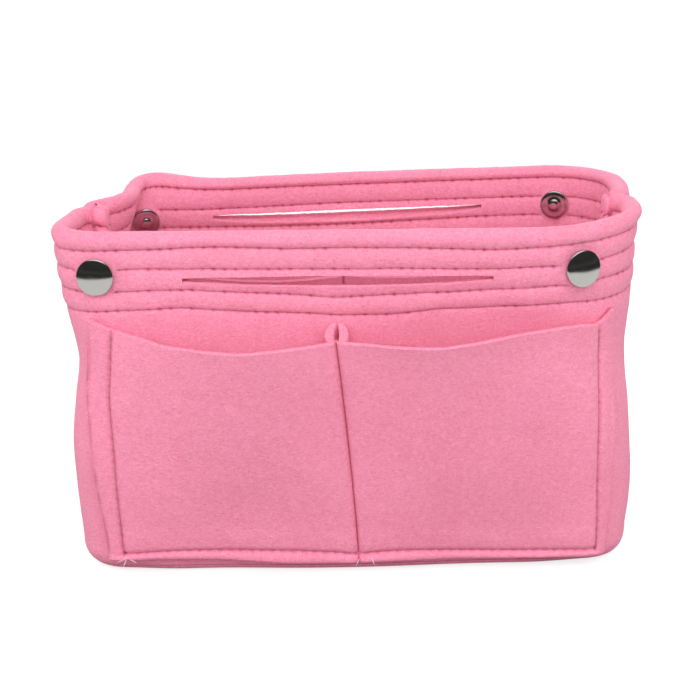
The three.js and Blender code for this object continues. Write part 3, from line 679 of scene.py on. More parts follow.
def pullStitches(half, side, section, stations):
    # at each needle hole the felt is drawn in and given painted shade, a painted shadow line runs along each
    # row, and the rows are out of step with each other
    _, level, kind = section
    steps, perStitch = np.arange(stations), quarter["stationsPerStitch"]
    usual, spread = quilting["tugs"]
    tugs = usual + spread * scatter((4, stations), 3 + 7 * (side > 0) + 13 * (half["sign"] > 0))
    onFelt = np.abs(kind) == 1
    needleShade, pull = np.zeros((stations, len(level))), np.zeros((stations, len(level)))
    alongReach, upReach = quilting["holeReaches"]
    plain, tugged = quilting["line"]
    for number, row in enumerate(shell["rows"]):
        onStep = steps + (number * 3 + (side > 0)) % perStitch + 2
        sinceHole = np.abs(onStep % perStitch - 2) / perStitch * shell["stitch"]
        ofStitch = np.repeat(tugs[number][::perStitch], perStitch)
        tug = ofStitch[onStep // perStitch * perStitch % stations][:, None]
        hole = bump(sinceHole, alongReach)[:, None] * bump(level - row, upReach)[None, :] * tug
        line = bump(level - row, quilting["lineReach"])[None, :] * (plain + tugged * np.abs(tug))
        needleShade += np.where(onFelt, quilting["hole"] * hole + line, 0)
        pull += np.where(onFelt, quilting["pull"] * hole * kind, 0)
    return needleShade, pull


def gridOfQuarter(half, side, shares, section):
    # the points of a quarter's sheet, by station along it and by place in the section
    inward, level, kind = section
    bandFoot, allowance = shell["bandFoot"], ofSide(shell["seamAllowances"], side)
    levels = level[None, :]
    distance = distanceAt(half, side, shares[:, None, :], levels)
    z = levels - sagAt(half, levels, distance) - lipDropAt(levels, distance, inward[None, :])
    distance = distanceAt(half, side, shares[:, None, :], z)
    depth = np.broadcast_to(inward, distance.shape).copy()

    # the tuck under the base runs out before the seam at the middle of the end
    tuck = np.clip((1 - shares[:, 2]) * 4, 0.04, 1)[:, None]
    isTuck = kind > 1.5
    corner = shell["thick"] + rollInset(shell["tuckLevel"], shell["innerRoll"])
    depth[:, isTuck] = corner + (depth[:, isTuck] - corner) * tuck

    needleShade, pull = pullStitches(half, side, section, len(shares))
    depth += pull
    seamed = np.clip(shares[:, 3] * 3, 0, 1)[:, None]
    depth = np.where(depth < 0, depth * (1 - seamed), depth)

    # the fins are creased at their seam, and trimmed a little lower than the rim with a round end
    inFin = shares[:, 4:] * allowance
    nearEnd = np.clip((inFin - allowance + fin["roundEnd"]) / fin["roundEnd"], 0, 1)
    crease = fin["crease"] * bump(inFin - fin["creaseReach"], fin["creaseReach"]) * (inFin > 0)
    trim = 0.5 * shell["seamDrop"] * np.clip(inFin / allowance * 1.6, 0, 1) + crease
    z = z - easeIn(levels, *fin["trimFrom"]) * (trim + fin["endDrop"] * (1 - np.sqrt(1 - 0.9 * nearEnd**2)))
    middle = np.where(level > bandFoot, shell["thick"], shell["thick"] / 2)[None, :]
    depth = np.where(isTuck[None, :], depth, middle + (depth - middle) * np.sqrt(1 - 0.8 * nearEnd**2))
    isBehind = (kind < 1) & (inward > 2.4) & (level > bandFoot)
    depth = depth - np.where(isBehind[None, :], crease, 0)

    # the snaps press both faces flat and take away the painted shade of the needle holes under them
    flatPoint = shellPoint(half, z, distance, 0.0)
    nearSnaps = np.abs(level - shell["snapLevel"]) < snap["bandReach"]
    pressedOut = pressedAt(half, flatPoint, depth, *snap["outside"], tilted=1.0)
    pressedIn = pressedAt(half, flatPoint, depth, *snap["inside"])
    depth = np.where((kind == 1) & nearSnaps, pressedOut, depth)
    depth = np.where((kind == -1) & nearSnaps, pressedIn, depth)
    needleShade = needleShade * pressedAt(half, flatPoint, np.ones_like(depth), *snap["holes"])
    points = shellPoint(half, z, distance, depth)
    # painted shade spots on the wall above the front pocket's right corner
    for across, up in quilting["shadeSpots"] if half["sign"] < 0 < side else ():  # above the pocket's corner
        away = np.hypot(points[..., 0] - across, levels - up)
        needleShade += quilting["shadeSpot"] * bump(away, quilting["shadeSpotReach"]) * (kind == 0) * (depth < 1)
    return {"points": points, "flat": flatPoint, "distance": distance, "z": z, "depth": depth,
            "needleShade": needleShade}


def columnAt(section, face, height):
    _, level, kind = section
    return int(np.flatnonzero((kind == face) & np.isclose(level, height))[0])


def openSlot(half, side, shares, section, at, distance):
    # the slot leaves out faces, and the two layers of felt show in each lip, with a groove between them
    level = section[1]
    lower, upper = shell["slotLips"]
    fromMiddle = np.abs(distance[:, level.argmax() // 2])
    stations = int(np.searchsorted(fromMiddle, abs(ofSide(shell["slotEnds"], side))))
    below, above = besideSlot()
    outer, inner = columnAt(section, 1, below), columnAt(section, -1, above)
    keep = np.ones((len(shares) - 1, len(level)), bool)
    keep[:stations, [outer, inner]] = False
    chain = np.array(quarter["lip"])
    inSlot = shares[: stations + 1, None, :]
    lips, places, numbers = [], [], []
    for lipLevel, into in ((lower, -1), (upper, 1)):
        z, inLip = (lipLevel + into * chain[:, 1])[None, :], chain[None, :, 0]
        where = distanceAt(half, side, inSlot, z)
        drop = sagAt(half, np.full_like(where, lipLevel), where) + lipDropAt(z, where, inLip)
        z = z + quarter["lipRagged"] * scatter(where.shape, 11 + into) * (inSlot[..., 0] > 0) - drop
        numbers.append(at.size + len(lips) * where.size + np.arange(where.size).reshape(where.shape))
        lips.append(shellPoint(half, z, where, inLip + 0 * where))
        places.append(np.stack([where, z, inLip + 0 * where], -1).reshape(-1, 3))
    sides = at[: stations + 1]
    lowGrid = np.column_stack([sides[:, outer], numbers[0], sides[:, inner + 1]])
    highGrid = np.column_stack([sides[:, outer + 1], numbers[1], sides[:, inner]])
    low, high = lowGrid[-1], highGrid[-1]
    slotEnd = np.stack([low[:-1], low[1:], high[1:], high[:-1]], -1)
    sheet = gridFaces(at, True).reshape(*keep.shape, 4)[keep]
    faces = [sheet, gridFaces(lowGrid), gridFaces(highGrid)[:, ::-1], slotEnd]

    # flat caps at the middle of the wall, below and above the slot
    under = np.concatenate([at[0, : outer + 1], numbers[0][0], at[0, inner + 1:]])[::-1]
    over = np.concatenate([at[0, outer + 1: inner + 1], numbers[1][0][::-1]])[::-1]
    return lips, places, [*faces, under[None, :], over[None, :]]


def threadsOfQuarter(half, side, shares, section, grid):
    # every row is sewn through both faces of the band, and the seam of the end down its fins
    points, distance, z = grid["points"], grid["distance"], grid["z"]
    seats, perStitch = [snapSeat(half, s)[0] for s in (-1, 1)], quarter["stationsPerStitch"]
    threads = []
    for number, row in enumerate(shell["rows"]):
        first = -(number * 3 + (side > 0)) % perStitch
        for face in (1, -1):
            column = columnAt(section, face, row)
            line, depth = points[:, column], grid["depth"][:, column]
            offFelt = shellPoint(half, z[:, column], distance[:, column], depth - face) - line
            for hole in range(first, len(shares) - perStitch, perStitch):
                away = min(np.linalg.norm(grid["flat"][hole + 2, column] - seat) for seat in seats)
                if away > quilting["freeOfSnap"][face] and (face < 0 or shares[hole, 3] == 0):
                    threads.append((line[hole], line[hole + perStitch], unit(offFelt[hole + 2])))
    heights = np.arange(*fin["seamLevels"])
    seamAt = distanceAt(half, side, shares[np.flatnonzero(shares[:, 4] > 0.12)[0]][None, :], heights)
    inBand = heights > shell["bandFoot"]
    sewnAt = np.where(inBand, *fin["seamDepths"][::-1])
    line = shellPoint(half, heights, seamAt, sewnAt)
    down = stitchesOn(line, unit(shellPoint(half, heights, seamAt, sewnAt + 1) - line))
    return threads + [stitch for stitch, *ends in zip(down, inBand, inBand[1:]) if ends[0] == ends[1]]


def fuzzOfQuarter(name, half, side, section, grid, lips):
    # on the rim, in the slot and on the raw edge of the fin
    inward, level, kind = section
    points, distance, z = grid["points"], grid["distance"], grid["z"]
    rollTop = shell["height"] - shell["rimRoll"][1]
    roll = np.flatnonzero((kind == 0) & (level > rollTop - 0.1))[1:-1]
    axis = shellPoint(half, z[:, roll] * 0 + rollTop, distance[:, roll], shell["thick"])
    growFuzz(name + "RimFuzz", points[:, roll], points[:, roll] - axis, fuzz["onRim"], 31 + side)
    for lip, word, up, seed in zip(lips, ("Lower", "Upper"), (1.0, -1.0), (41, 51)):
        upright = np.broadcast_to((0, 0, up), lip.shape)
        growFuzz(name + word + "LipFuzz", lip, upright, fuzz["onRim"], seed + side)
    cut = np.flatnonzero((kind == -1) | ((kind == 0) & (inward == shell["thick"])))
    outerEdge = shellPoint(half, z[-1, cut], distance[-1, cut], grid["depth"][-1, cut] * 0.4)
    rawEdge = np.stack([points[-1, cut], outerEdge], 1)
    towardsMiddle = np.broadcast_to((-float(side), 0, 0), rawEdge.shape)
    growFuzz(name + "FinFuzz", rawEdge, towardsMiddle, fuzz["onFin"], 61 + side)


def buildQuarter(halfName, side):
    half = halves[halfName]
    name = halfName + "Shell" + sideNames[side].capitalize()
    shares, section = stationShares(half, side), wallSection()
    grid = gridOfQuarter(half, side, shares, section)
    at = np.arange(grid["needleShade"].size).reshape(grid["needleShade"].shape)
    lips, lipPlaces, faces = openSlot(half, side, shares, section, at, grid["distance"])
    points = np.concatenate([part.reshape(-1, 3) for part in (grid["points"], *lips)])
    onSheet = np.stack([grid[key] for key in ("distance", "z", "depth")], -1).reshape(-1, 3)
    needleShade = np.concatenate([grid["needleShade"].reshape(-1), np.zeros(len(points) - at.size)])
    rawEnd = at[-1][None, :]
    piece = meshPiece(name, points, [*faces, rawEnd], felt, np.concatenate([onSheet, *lipPlaces]),
                      np.clip(needleShade, 0, 1), angle=55)
    threads = threadsOfQuarter(half, side, shares, section, grid)
    fuzzOfQuarter(name, half, side, section, grid, lips)
    return piece, threads


def blendQuarter(piece, half):
    # the line where an end would fold, running up aslant from the middle of its foot to the rim beside the
    # snap, is worked out but not used: only the piece's transform is baked into its mesh
    (footOut, footLevel), (topOut, topLevel) = quarter["blendFoot"], quarter["blendTop"]
    run = Vector((0, topOut - footOut, topLevel - footLevel)).normalized()
    start = Vector((0, topOut, topLevel))
    end = start + Vector((0, -run.z, run.y)) * quarter["foldRun"]
    start, end = (Vector(place * Vector((1, half["sign"], 1))) / 1000 for place in (start, end))
    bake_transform(piece)


for halfName, half in halves.items():
    for side, sideName in sideNames.items():
        piece, threads = buildQuarter(halfName, side)
        sewn = sewThreads(halfName + "RimStitching" + sideName.capitalize(), threads)
        sewnOn = [sewn, *loose]
        loose.clear()
        for part in (piece, *sewnOn):
            blendQuarter(part, half)
        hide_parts(halfName + "_wall", sideName + "_end_" + halfName + "_half")
        print("shell quarter", piece.name, len(piece.data.polygons), "faces and", len(threads), "stitches")


# base panel
base = {
    # level and inset of each ring at the edge, then the shares and count of the rings on either face
    "rings": ((0.0, 8.0), (0.28, 5.9), (0.75, 4.55), (1.4, 3.4), (2.0, 2.7), (2.35, 2.5), (2.5, 2.75)),
    "under": (0.04, 0.97, 14), "over": (0.985, 0.04, 18), "cut": (0.188, 0.080), "cutArea": 0.0146,
    "route": (("front", -1), ("front", 1), ("back", 1), ("back", -1)),
}


def baseRing(z, inset):
    # once round the foot of the shell, from the middle of the left end
    parts = []
    for number, (halfName, side) in enumerate(base["route"]):
        rows = stationShares(halves[halfName], side)
        rows = rows[rows[:, 3] == 0][::2]
        rows = rows if number % 2 else rows[::-1][:-1]
        levels = np.full(len(rows), z)
        distance = distanceAt(halves[halfName], side, rows, levels)
        parts.append(shellPoint(halves[halfName], levels, distance, np.full(len(rows), inset)))
    return np.concatenate(parts)


def buildBase():
    rings = [baseRing(z, inset) for z, inset in base["rings"]]
    under, over = ([ring * (s, s, 1) for s in np.linspace(*base[key])]
                   for ring, key in ((rings[0], "under"), (rings[-1], "over")))
    grid = np.stack([*under, *rings, *over])
    at = np.arange(grid[..., 0].size).reshape(grid.shape[:2])
    points = grid.reshape(-1, 3)
    faces = [gridFaces(at, True), at[0][None, :], at[-1][None, ::-1]]
    piece = meshPiece("basePanel", points, faces, felt, points, angle=70)
    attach(piece, "shell")
    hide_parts("base_panel")


buildBase()
print("base panel made")


# outer pockets
pocketForm = {
    "left": -80.0, "right": 82.5, "margin": 7.0, "lowMargins": (4.3, 3.4),
    "dividerTop": -4.1, "dividerFoot": 1.0, "sway": ((6, 30, 65, 88), (0, -0.9, -1.2, 1.0)),
    "foot": 4.6, "seam": 7.0, "mouth": 89.0, "mouthRise": 1.25, "centreFullness": 0.6, "groove": 2.5,
    "sewnThin": 0.95, "marginRun": 45, "raiseFade": (10, 30), "grooveEase": (70, 15),
}
outerPockets = {
    "front": {
        "bulge": 14.0, "cut": (0.193, 0.090), "cutArea": 0.0152,
        "mouth": ((-90, -87, -84.5, -82, -79.5, -76, -69.4, -62.5, -48.8, -35.4, -19, -3, 7, 17, 29.7, 42.6,
                   55.6, 68.5, 76, 83, 85, 87, 90),
                  (94.0, 93.8, 92.8, 91.0, 89.4, 89.0, 88.0, 86.0, 85.3, 84.7, 85.9, 86.6, 86.7, 86.0, 85.6,
                   87.0, 88.7, 89.2, 88.5, 86.0, 87.6, 90.8, 91.0)),
        # how far the raw edge and the bottom seam run above their levels
        "raises": (((-87, -80, -65, -45, -22, 0, 8, 32, 58, 80),
                    (2.6, 2.2, 2.1, 1.7, 0.3, 0.0, 0.6, 0.5, 0.3, 0)),
                   ((-80, -60, -40, -20, -5, 0, 6, 15, 30, 50, 75, 82),
                    (1.8, 2.4, 2.3, 2.0, 1.2, 0.3, 1.1, 1.5, 1.1, 0.4, 0.0, 0))),
    },
    "back": {
        "bulge": 9.0, "cut": (0.184, 0.088), "cutArea": 0.0151,
        "mouth": ((-90, -80, -66, -40, -20, -3.5, 14, 40, 66, 82.5, 92),
                  (90.2, 88.6, 87.4, 86.4, 86.9, 87.6, 86.7, 86.4, 87.3, 88.4, 90.3)),
    },
}


def fullnessAt(across, centre):
    return np.sin(np.maximum(0, 1 - np.abs(across)) * (math.pi - math.asin(centre)))


def riseAt(form, level):
    return np.clip((level - form["seam"]) / (form["mouth"] - form["seam"]), 0, 1) ** form["mouthRise"]


def leftEdgeAt(form, level):
    return form["left"] + np.interp(level, *form["sway"])


def pocketDistance(form, across, level):
    # across is -1 and 1 at the side seams, 0 at the divider, and up to 2 in the raw margins
    divider = between(form["dividerFoot"], form["dividerTop"], riseAt(form, level))
    left, right = leftEdgeAt(form, level), form["right"]
    inside = np.where(across < 0, between(divider, left, -across), between(divider, right, across))
    upShare = easeIn(level, form["foot"], form["marginRun"])
    margins = [between(low, form["margin"], upShare) for low in form["lowMargins"]]
    inside = np.where(across < -1, left + (across + 1) * margins[0], inside)
    return np.where(across > 1, right + (across - 1) * margins[1], inside), divider


def acrossStops():
    close = (0, 0.0015, 0.004, 0.007, 0.011, 0.016, 0.022, 0.029, 0.037)
    side = (*close, *np.linspace(0.05, 0.94, 72), 0.955, 0.968, 0.979, 0.988, 0.994, 1.0)
    right = np.array([*side, 1.03, 1.07, 1.12, 1.2, *np.linspace(1.3, 2, 9)])
    return np.concatenate([-right[:0:-1], right])


def pocketLevels(form):
    foot, seam, mouth = form["foot"], form["seam"], form["mouth"]
    low = foot + np.linspace(0, 0.72, 5) * (seam - foot)
    atSeam = seam + np.array([-0.45, -0.2, 0, 0.2, 0.45, 0.8, 1.4, 2.2])
    high = mouth - np.array([2.8, 2, 1.3, 0.7, 0.3, 0])
    return np.concatenate([low, atSeam, np.arange(seam + 3.2, mouth - 3.2, 1.3), high])


def pocketGrid(form, levels):
    across, level = np.meshgrid(acrossStops(), levels, indexing="ij")
    distance, divider = pocketDistance(form, across, level)
    sideSeam = np.minimum(np.abs(distance - leftEdgeAt(form, level)), np.abs(distance - form["right"]))
    turned = np.clip(form["groove"] - np.abs(distance - divider), 0, form["groove"])
    groove = form["groove"] - np.sqrt(form["groove"] ** 2 - turned**2)
    return across, level, distance, divider, sideSeam, groove


def pocketLevel(halfName, distance, level):
    # where a level of the flat sheet lies on the wall
    form, own = pocketForm, outerPockets[halfName]
    share = np.clip((level - form["seam"]) / (form["mouth"] - form["seam"]), 0, 1)
    z = level + (alongAt(own["mouth"], distance) - form["mouth"]) * share**1.6
    if "raises" in own:
        low, high = (alongAt(table, distance) for table in own["raises"])
        toSeam = np.clip((level - form["foot"]) / (form["seam"] - form["foot"]), 0, 1)
        z = z + between(low, high, toSeam) * (1 - easeIn(level, *form["raiseFade"]))
    return z


pocketFelt = {
    # waves of the raw margins, at the left and right and at the bottom
    "sideWaves": (1.3, 0.3), "hemWave": 0.65, "hemSwell": 1.4,
    # swells beside the seams, and ripples of the full sheet
    "slackAt": 4.5, "slackReach": 3.5, "sideSlack": 0.35, "hemSlack": 0.4, "ripple": 0.3,
    # how a seam thins and pins the sheet, and the reaches of that
    "pinned": 0.15, "pinReach": 0.7, "sideReach": 0.8, "hemReach": 0.75, "cutThin": 1.3,
    # painted shade of each seam along its line and at its holes, then of the divider's groove, and a painted
    # shadow line along the cut edge
    "sideSeamShade": (0.22, 0.48), "hemSeamShade": (0.22, 0.4), "dividerShade": 0.12, "cutEdgeShadow": 0.55,
}


def pocketShade(form, across, level, distance, divider, sideSeam):
    aboveSeam = level - form["seam"]
    plain, atHole = pocketFelt["sideSeamShade"]
    needleShade = bump(sideSeam, 0.5) * (plain + atHole * holeAt(aboveSeam, 0.6)) * (aboveSeam > -1)
    plain, atHole = pocketFelt["hemSeamShade"]
    needleShade = needleShade + bump(aboveSeam, 0.45) * (plain + atHole * holeAt(distance, 0.65)) * (np.abs(across) < 1)
    needleShade = needleShade + pocketFelt["dividerShade"] * bump(distance - divider, 0.45) * (aboveSeam > 0)
    # the painted shadow line along the cut edge comes and goes, and fades out towards the mouth
    cutShadow = (0.62 + 0.3 * np.sin(level / 1.9 + 2 * np.sin(level / 5))) * smooth((form["mouth"] - level) / 6)
    return np.clip(needleShade + pocketFelt["cutEdgeShadow"] * bump(across + 2, 0.14) * cutShadow, 0, 0.9), cutShadow


def pocketOut(half, form, bulge, across, level, distance, sideSeam):
    # how far the sheet stands off the wall, before the groove at its divider
    full, aboveSeam = fullnessAt(across, form["centreFullness"]), level - form["seam"]
    inside = np.abs(across) < 1

    # the raw margins wave, and the bottom one is soft between seam and cut
    outside = np.clip(np.abs(across) - 1, 0, 1)
    low = np.clip(-aboveSeam / (form["seam"] - form["foot"]), 0, 1)
    wave = 0.5 + 0.5 * np.sin(distance / 8.3 + 1.1 * np.sin(distance / 21) + half["seed"])
    sideWave = np.where(across < 0, *pocketFelt["sideWaves"]) * outside**1.5
    sideWave = sideWave * (0.6 + 0.4 * np.sin(level / 9 + distance))
    hemWave = pocketFelt["hemWave"] * low**1.4 * (0.35 + 0.65 * wave)
    out = shell["gap"] + bulge * full * riseAt(form, level) + sideWave + hemWave
    out = out + pocketFelt["hemSwell"] * low * (1 - low) * (np.abs(across) < 1.2)

    # a little slack: the sheet swells beside its seams and ripples above the bottom seam
    slackAt, reach = pocketFelt["slackAt"], pocketFelt["slackReach"]
    slack = bump(sideSeam - slackAt, reach) * inside * pocketFelt["sideSlack"]
    slack = slack + bump(aboveSeam - slackAt, reach) * pocketFelt["hemSlack"]
    slack = slack * (0.6 + 0.4 * np.sin(distance / 6.1 + level / 7.7))
    ripple = pocketFelt["ripple"] * np.sin(distance / 15 + half["seed"]) * np.sin(level / 18 + 1)
    return out + slack * inside + ripple * smooth(level / 30) * np.clip(full * 1.4, 0, 1)


def buildOuterPocket(halfName, bulge):
    half, form, gap = halves[halfName], pocketForm, shell["gap"]
    across, level, distance, divider, sideSeam, groove = pocketGrid(form, pocketLevels(form))
    z, aboveSeam = pocketLevel(halfName, distance, level), level - form["seam"]
    out = pocketOut(half, form, bulge, across, level, distance, sideSeam)

    # the stitches thin the sheet and hold it down on the wall, so that no light passes under it
    atSides = bump(sideSeam, pocketFelt["sideReach"]) * (aboveSeam > -1.5)
    onHem = np.abs(across) < 1.03
    sewnDown = np.maximum(bump(aboveSeam, pocketFelt["pinReach"]) * onHem, atSides)
    nearOut = np.maximum(out - groove, gap) - (gap + pocketFelt["pinned"]) * sewnDown
    sewnThin = form["sewnThin"] * (atSides + bump(aboveSeam, pocketFelt["hemReach"]) * onHem)
    thinCut = pocketFelt["cutThin"] * np.clip(np.abs(across) - 1, 0, 1) * (across > 0)
    thick = shell["thick"] - sewnThin - thinCut
    farOut = np.maximum(out - groove * (1 - 0.15 * easeIn(level, *form["grooveEase"])) + thick, gap + 0.35)

    needleShade, cutShadow = pocketShade(form, across, level, distance, divider, sideSeam)
    inset = rollInset(np.minimum(z, shell["roll"]))
    near, far = (shellPoint(half, z, distance, inset - offset) for offset in (nearOut, farOut))
    places = np.stack([distance, z, 20 + 0 * z], -1)
    # a painted shadow line runs along the pocket's left cut edge
    piece = sheetPiece(halfName + "Pocket", near, far, places, needleShade, felt, rough=0.16, soft=0.5, seed=8,
                       edgeShadow=(across < -1.9) * cutShadow)
    fibres = rideAll("shell", piece)[1:]
    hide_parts(halfName + "_pocket")
    return piece, [*sewOuterPocket(halfName, bulge), *fibres]


threadEnds = {
    "radius": 0.13, "sink": 0.0, "lift": 0.1, "depths": (-3.3, -3.6),
    # distance, level, and how far each runs along and up, at the corners of the stitching
    "places": ((-79.0, 7.6, -3.3, -1.6), (-79.2, 7.2, -1.2, -2.6), (-78.4, 7.4, 2.6, -1.5),
               (1.2, 6.4, -1.2, -2.2), (5.4, 6.6, 0.9, -2.3)),
}
backtacks = {
    "corner": (((1.0, 1.85), (7.0, 7.0)), ((1.07, 1.07), (7.2, 9.8)), ((1.07, 1.07), (9.8, 12.4))),
    "pleat": ((85.9, 88.4), (-3.0, -3.0)), "pleatDepth": -0.15,
    "topRun": 9.5, "topStitch": 2.6, "topAcross": 1.05,
}


def sewOuterPocket(halfName, bulge):
    half, form, stitch = halves[halfName], pocketForm, shell["stitch"]

    def sewnLine(acrossAt, levels):
        across, level = np.broadcast_arrays(np.asarray(acrossAt, float), np.asarray(levels, float))
        distance, _ = pocketDistance(form, across, level)
        z = pocketLevel(halfName, distance, level)
        out = shell["gap"] + shell["thick"] - form["sewnThin"]
        out = out + bulge * fullnessAt(across, form["centreFullness"]) * riseAt(form, level)
        depth = rollInset(np.minimum(z, shell["roll"])) - out
        line = shellPoint(half, z, distance, depth)
        return line, unit(shellPoint(half, z, distance, depth - 1) - line)

    threads = []
    top = form["mouth"] - 1
    for edge in (-1.0, 1.0):
        threads += stitchesOn(*sewnLine(edge, np.arange(form["seam"], top, stitch)))
        again = np.arange(form["mouth"] - backtacks["topRun"], top, backtacks["topStitch"])
        threads += stitchesOn(*sewnLine(edge * backtacks["topAcross"], again))
    for side, edge in ((-1, form["left"]), (1, form["right"])):
        span = np.arange(abs(form["dividerFoot"]) + 1, abs(edge), stitch)
        threads += stitchesOn(*sewnLine(side * (span / abs(edge)), np.full(len(span), form["seam"])))
    made = []
    if halfName == "front":  # a stitch above the pleat, the last stitches past the corner, and loose ends
        levels, distances = np.array(backtacks["pleat"])
        above = shellPoint(half, levels, distances, backtacks["pleatDepth"])
        threads.append((*above, np.array([0, -1.0, 0])))
        for acrossAt, levels in backtacks["corner"]:
            threads += stitchesOn(*sewnLine(acrossAt, levels))
        distance, level, along, up = np.array(threadEnds["places"]).T
        atStart, atEnd = threadEnds["depths"]
        starts = shellPoint(half, level, distance, atStart)
        ends = shellPoint(half, level + up, distance + along, atEnd)
        tails = [(start, end, (0, -1, 0)) for start, end in zip(starts, ends)]
        made.append(sewThreads("frontPocketThreadEnds", tails, threadEnds, threadEnd))
    made.insert(0, sewThreads(halfName + "PocketStitching", threads))
    for sewn in made:
        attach(sewn, "shell")
    return made


pleat = {
    "rise": 4.2, "foot": 12.0, "top": 88.6, "strand": 3.0, "open": 0.9, "ends": 0.58,
    "steps": 18, "levels": 40,
}


def buildPleat(halfName, bulge):
    # the pocket's spare width goes back to the wall at the divider in two strands that open into a ring
    half, form, made = halves[halfName], pocketForm, []
    steps, level = np.meshgrid(np.linspace(0, 1, pleat["steps"]),
                               np.linspace(pleat["foot"], pleat["top"], pleat["levels"]), indexing="ij")
    rise = riseAt(form, level)
    divider = between(form["dividerFoot"], form["dividerTop"], rise)
    mouth = alongAt(outerPockets[halfName]["mouth"], divider)
    lift = pleat["rise"] * (1 - steps) ** 1.3 * (level / form["mouth"]) ** 3
    z = level + (mouth - form["mouth"]) * rise + lift
    out = between(shell["gap"], shell["gap"] + bulge * form["centreFullness"] * rise + 0.6, steps)
    opening = np.sin(math.pi * steps) ** 0.7 * rise
    thick = pleat["strand"] * between(pleat["ends"], 1, opening)
    for side, sideName in sideNames.items():
        middle = side * (thick / 2 + 0.05 + pleat["open"] * opening)
        grids = [shellPoint(half, z, divider + middle + offset * thick / 2, -out) for offset in (-1, 1)]
        places = np.stack([divider + middle + 40, z, out], -1)
        name = halfName + "Pleat" + sideName.capitalize()
        piece = sheetPiece(name, *grids, places, np.zeros_like(z), felt, rough=0.12, soft=0.4, seed=21)
        made += rideAll("shell", piece)
    return made


for halfName, own in outerPockets.items():
    pocket, sewnOn = buildOuterPocket(halfName, own["bulge"])
    sewnOn += buildPleat(halfName, own["bulge"])
    print(halfName, "pocket made")


# inner pockets
innerForm = {
    "left": -68.0, "right": 68.0, "margin": 4.0, "lowMargins": (4.0, 4.0), "marginRun": 45,
    "dividerTop": -3.5, "dividerFoot": 1.0, "sway": straight, "bulge": 9.5,
    "foot": 10.5, "seam": 13.0, "mouth": 86.0, "mouthRise": 1.25, "centreFullness": 0.6, "groove": 2.2,
    "mouthDip": 1.2, "sewnThin": 0.8, "seamReach": 0.8, "needleShade": (0.34, 0.6), "sagShare": 0.6,
    "cut": (0.160, 0.077), "cutArea": 0.0114,
}


def buildInnerPocket(halfName):
    half, form, gap = halves[halfName], innerForm, shell["gap"]
    across, level, distance, _, sideSeam, groove = pocketGrid(form, pocketLevels(form)[:-1])
    full, rise = fullnessAt(across, form["centreFullness"]), riseAt(form, level)
    out = gap + form["bulge"] * full * rise
    z = level - form["mouthDip"] * full * rise - sagAt(half, level, distance) * form["sagShare"] * (1 - rise)
    onSeams = sum(bump(away, form["seamReach"]) for away in (sideSeam, level - form["seam"]))
    thick = shell["thick"] - form["sewnThin"] * onSeams
    nearIn, farIn = np.maximum(out - groove, gap), np.maximum(out - groove + thick, gap + 0.4)
    plain, atHole = form["needleShade"]
    # painted shade along the side seams and at their holes
    needleShade = np.clip(bump(sideSeam, 0.5) * (plain + atHole * holeAt(level, 0.6)), 0, 0.9)
    near, far = (shellPoint(half, z, distance, shell["thick"] + offset) for offset in (nearIn, farIn))
    places = np.stack([distance + 60, z, 40 + 0 * z], -1)
    piece = sheetPiece("inner" + halfName.capitalize() + "Pocket", near, far, places, needleShade, feltShadedInside)
    fibres = rideAll("shell", piece)[1:]
    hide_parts("inner_" + halfName + "_pocket")


for halfName in halves:
    buildInnerPocket(halfName)
print("inner pockets made")


# press snaps
def modelRings(name, rings):
    # a circle, extruded ring by ring and scaled, closed at both ends
    bpy.ops.object.select_all(action="DESELECT")
    radius, level = rings[0]
    bpy.ops.mesh.primitive_circle_add(vertices=snap["sides"], radius=radius, location=(0, 0, level),
                                      fill_type="NGON")
    piece = bpy.context.object
    piece.name = piece.data.name = name
    bpy.ops.object.transform_apply(location=True)
    bpy.ops.object.mode_set(mode="EDIT")
    bpy.ops.mesh.select_all(action="SELECT")
    for nextRadius, nextLevel in rings[1:]:
        bpy.ops.mesh.extrude_region_move(TRANSFORM_OT_translate={"value": (0, 0, nextLevel - level)})
        ratio = nextRadius / radius
        bpy.ops.transform.resize(value=(ratio, ratio, 1), center_override=(0, 0, nextLevel))
        radius, level = nextRadius, nextLevel
    bpy.ops.mesh.select_all(action="SELECT")
    bpy.ops.mesh.remove_doubles(threshold=0.0001)
    bpy.ops.mesh.normals_make_consistent(inside=False)
    bpy.ops.object.mode_set(mode="OBJECT")
    return piece


def seatSnap(piece, face, outward, offset, node):
    turn = Vector((0, 0, 1)).rotation_difference(Vector(outward)).to_matrix().to_4x4()
    spot = Vector(face + outward * offset)
    piece.data.transform(Matrix.Scale(0.001, 4) @ Matrix.Translation(spot) @ turn)
    piece.data.materials.append(nickel)
    for polygon in piece.data.polygons:
        polygon.use_smooth = True
    piece.data.set_sharp_from_angle(angle=math.radians(48))
    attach(piece, "shell")
    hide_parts(node)


for halfName, half in halves.items():
    part = "socket" if half["sign"] < 0 else "stud"
    for side, sideName in sideNames.items():
        face, outward = snapSeat(half, side)
        cap = modelRings(halfName + "SnapCap" + sideName.capitalize(), snap["cap"])
        tilt = math.radians(ofSide(snap["tilts"], side))
        leaning = unit(outward * math.cos(tilt) + np.array([0, 0, math.sin(tilt)]))
        seatSnap(cap, face, leaning, snap["capOffset"], "snap_cap_" + halfName + "_" + sideName)
        press = modelRings("snap" + part.capitalize() + sideName.capitalize(), snap[part])
        node = "snap_" + part + "_" + sideName
        lowest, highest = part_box(node)
        centre = np.array((lowest + highest) / 2) * 1000
        seatSnap(press, face, -outward, float(np.dot(face - centre, outward)) - snap["pressDepth"], node)
print("snaps made")


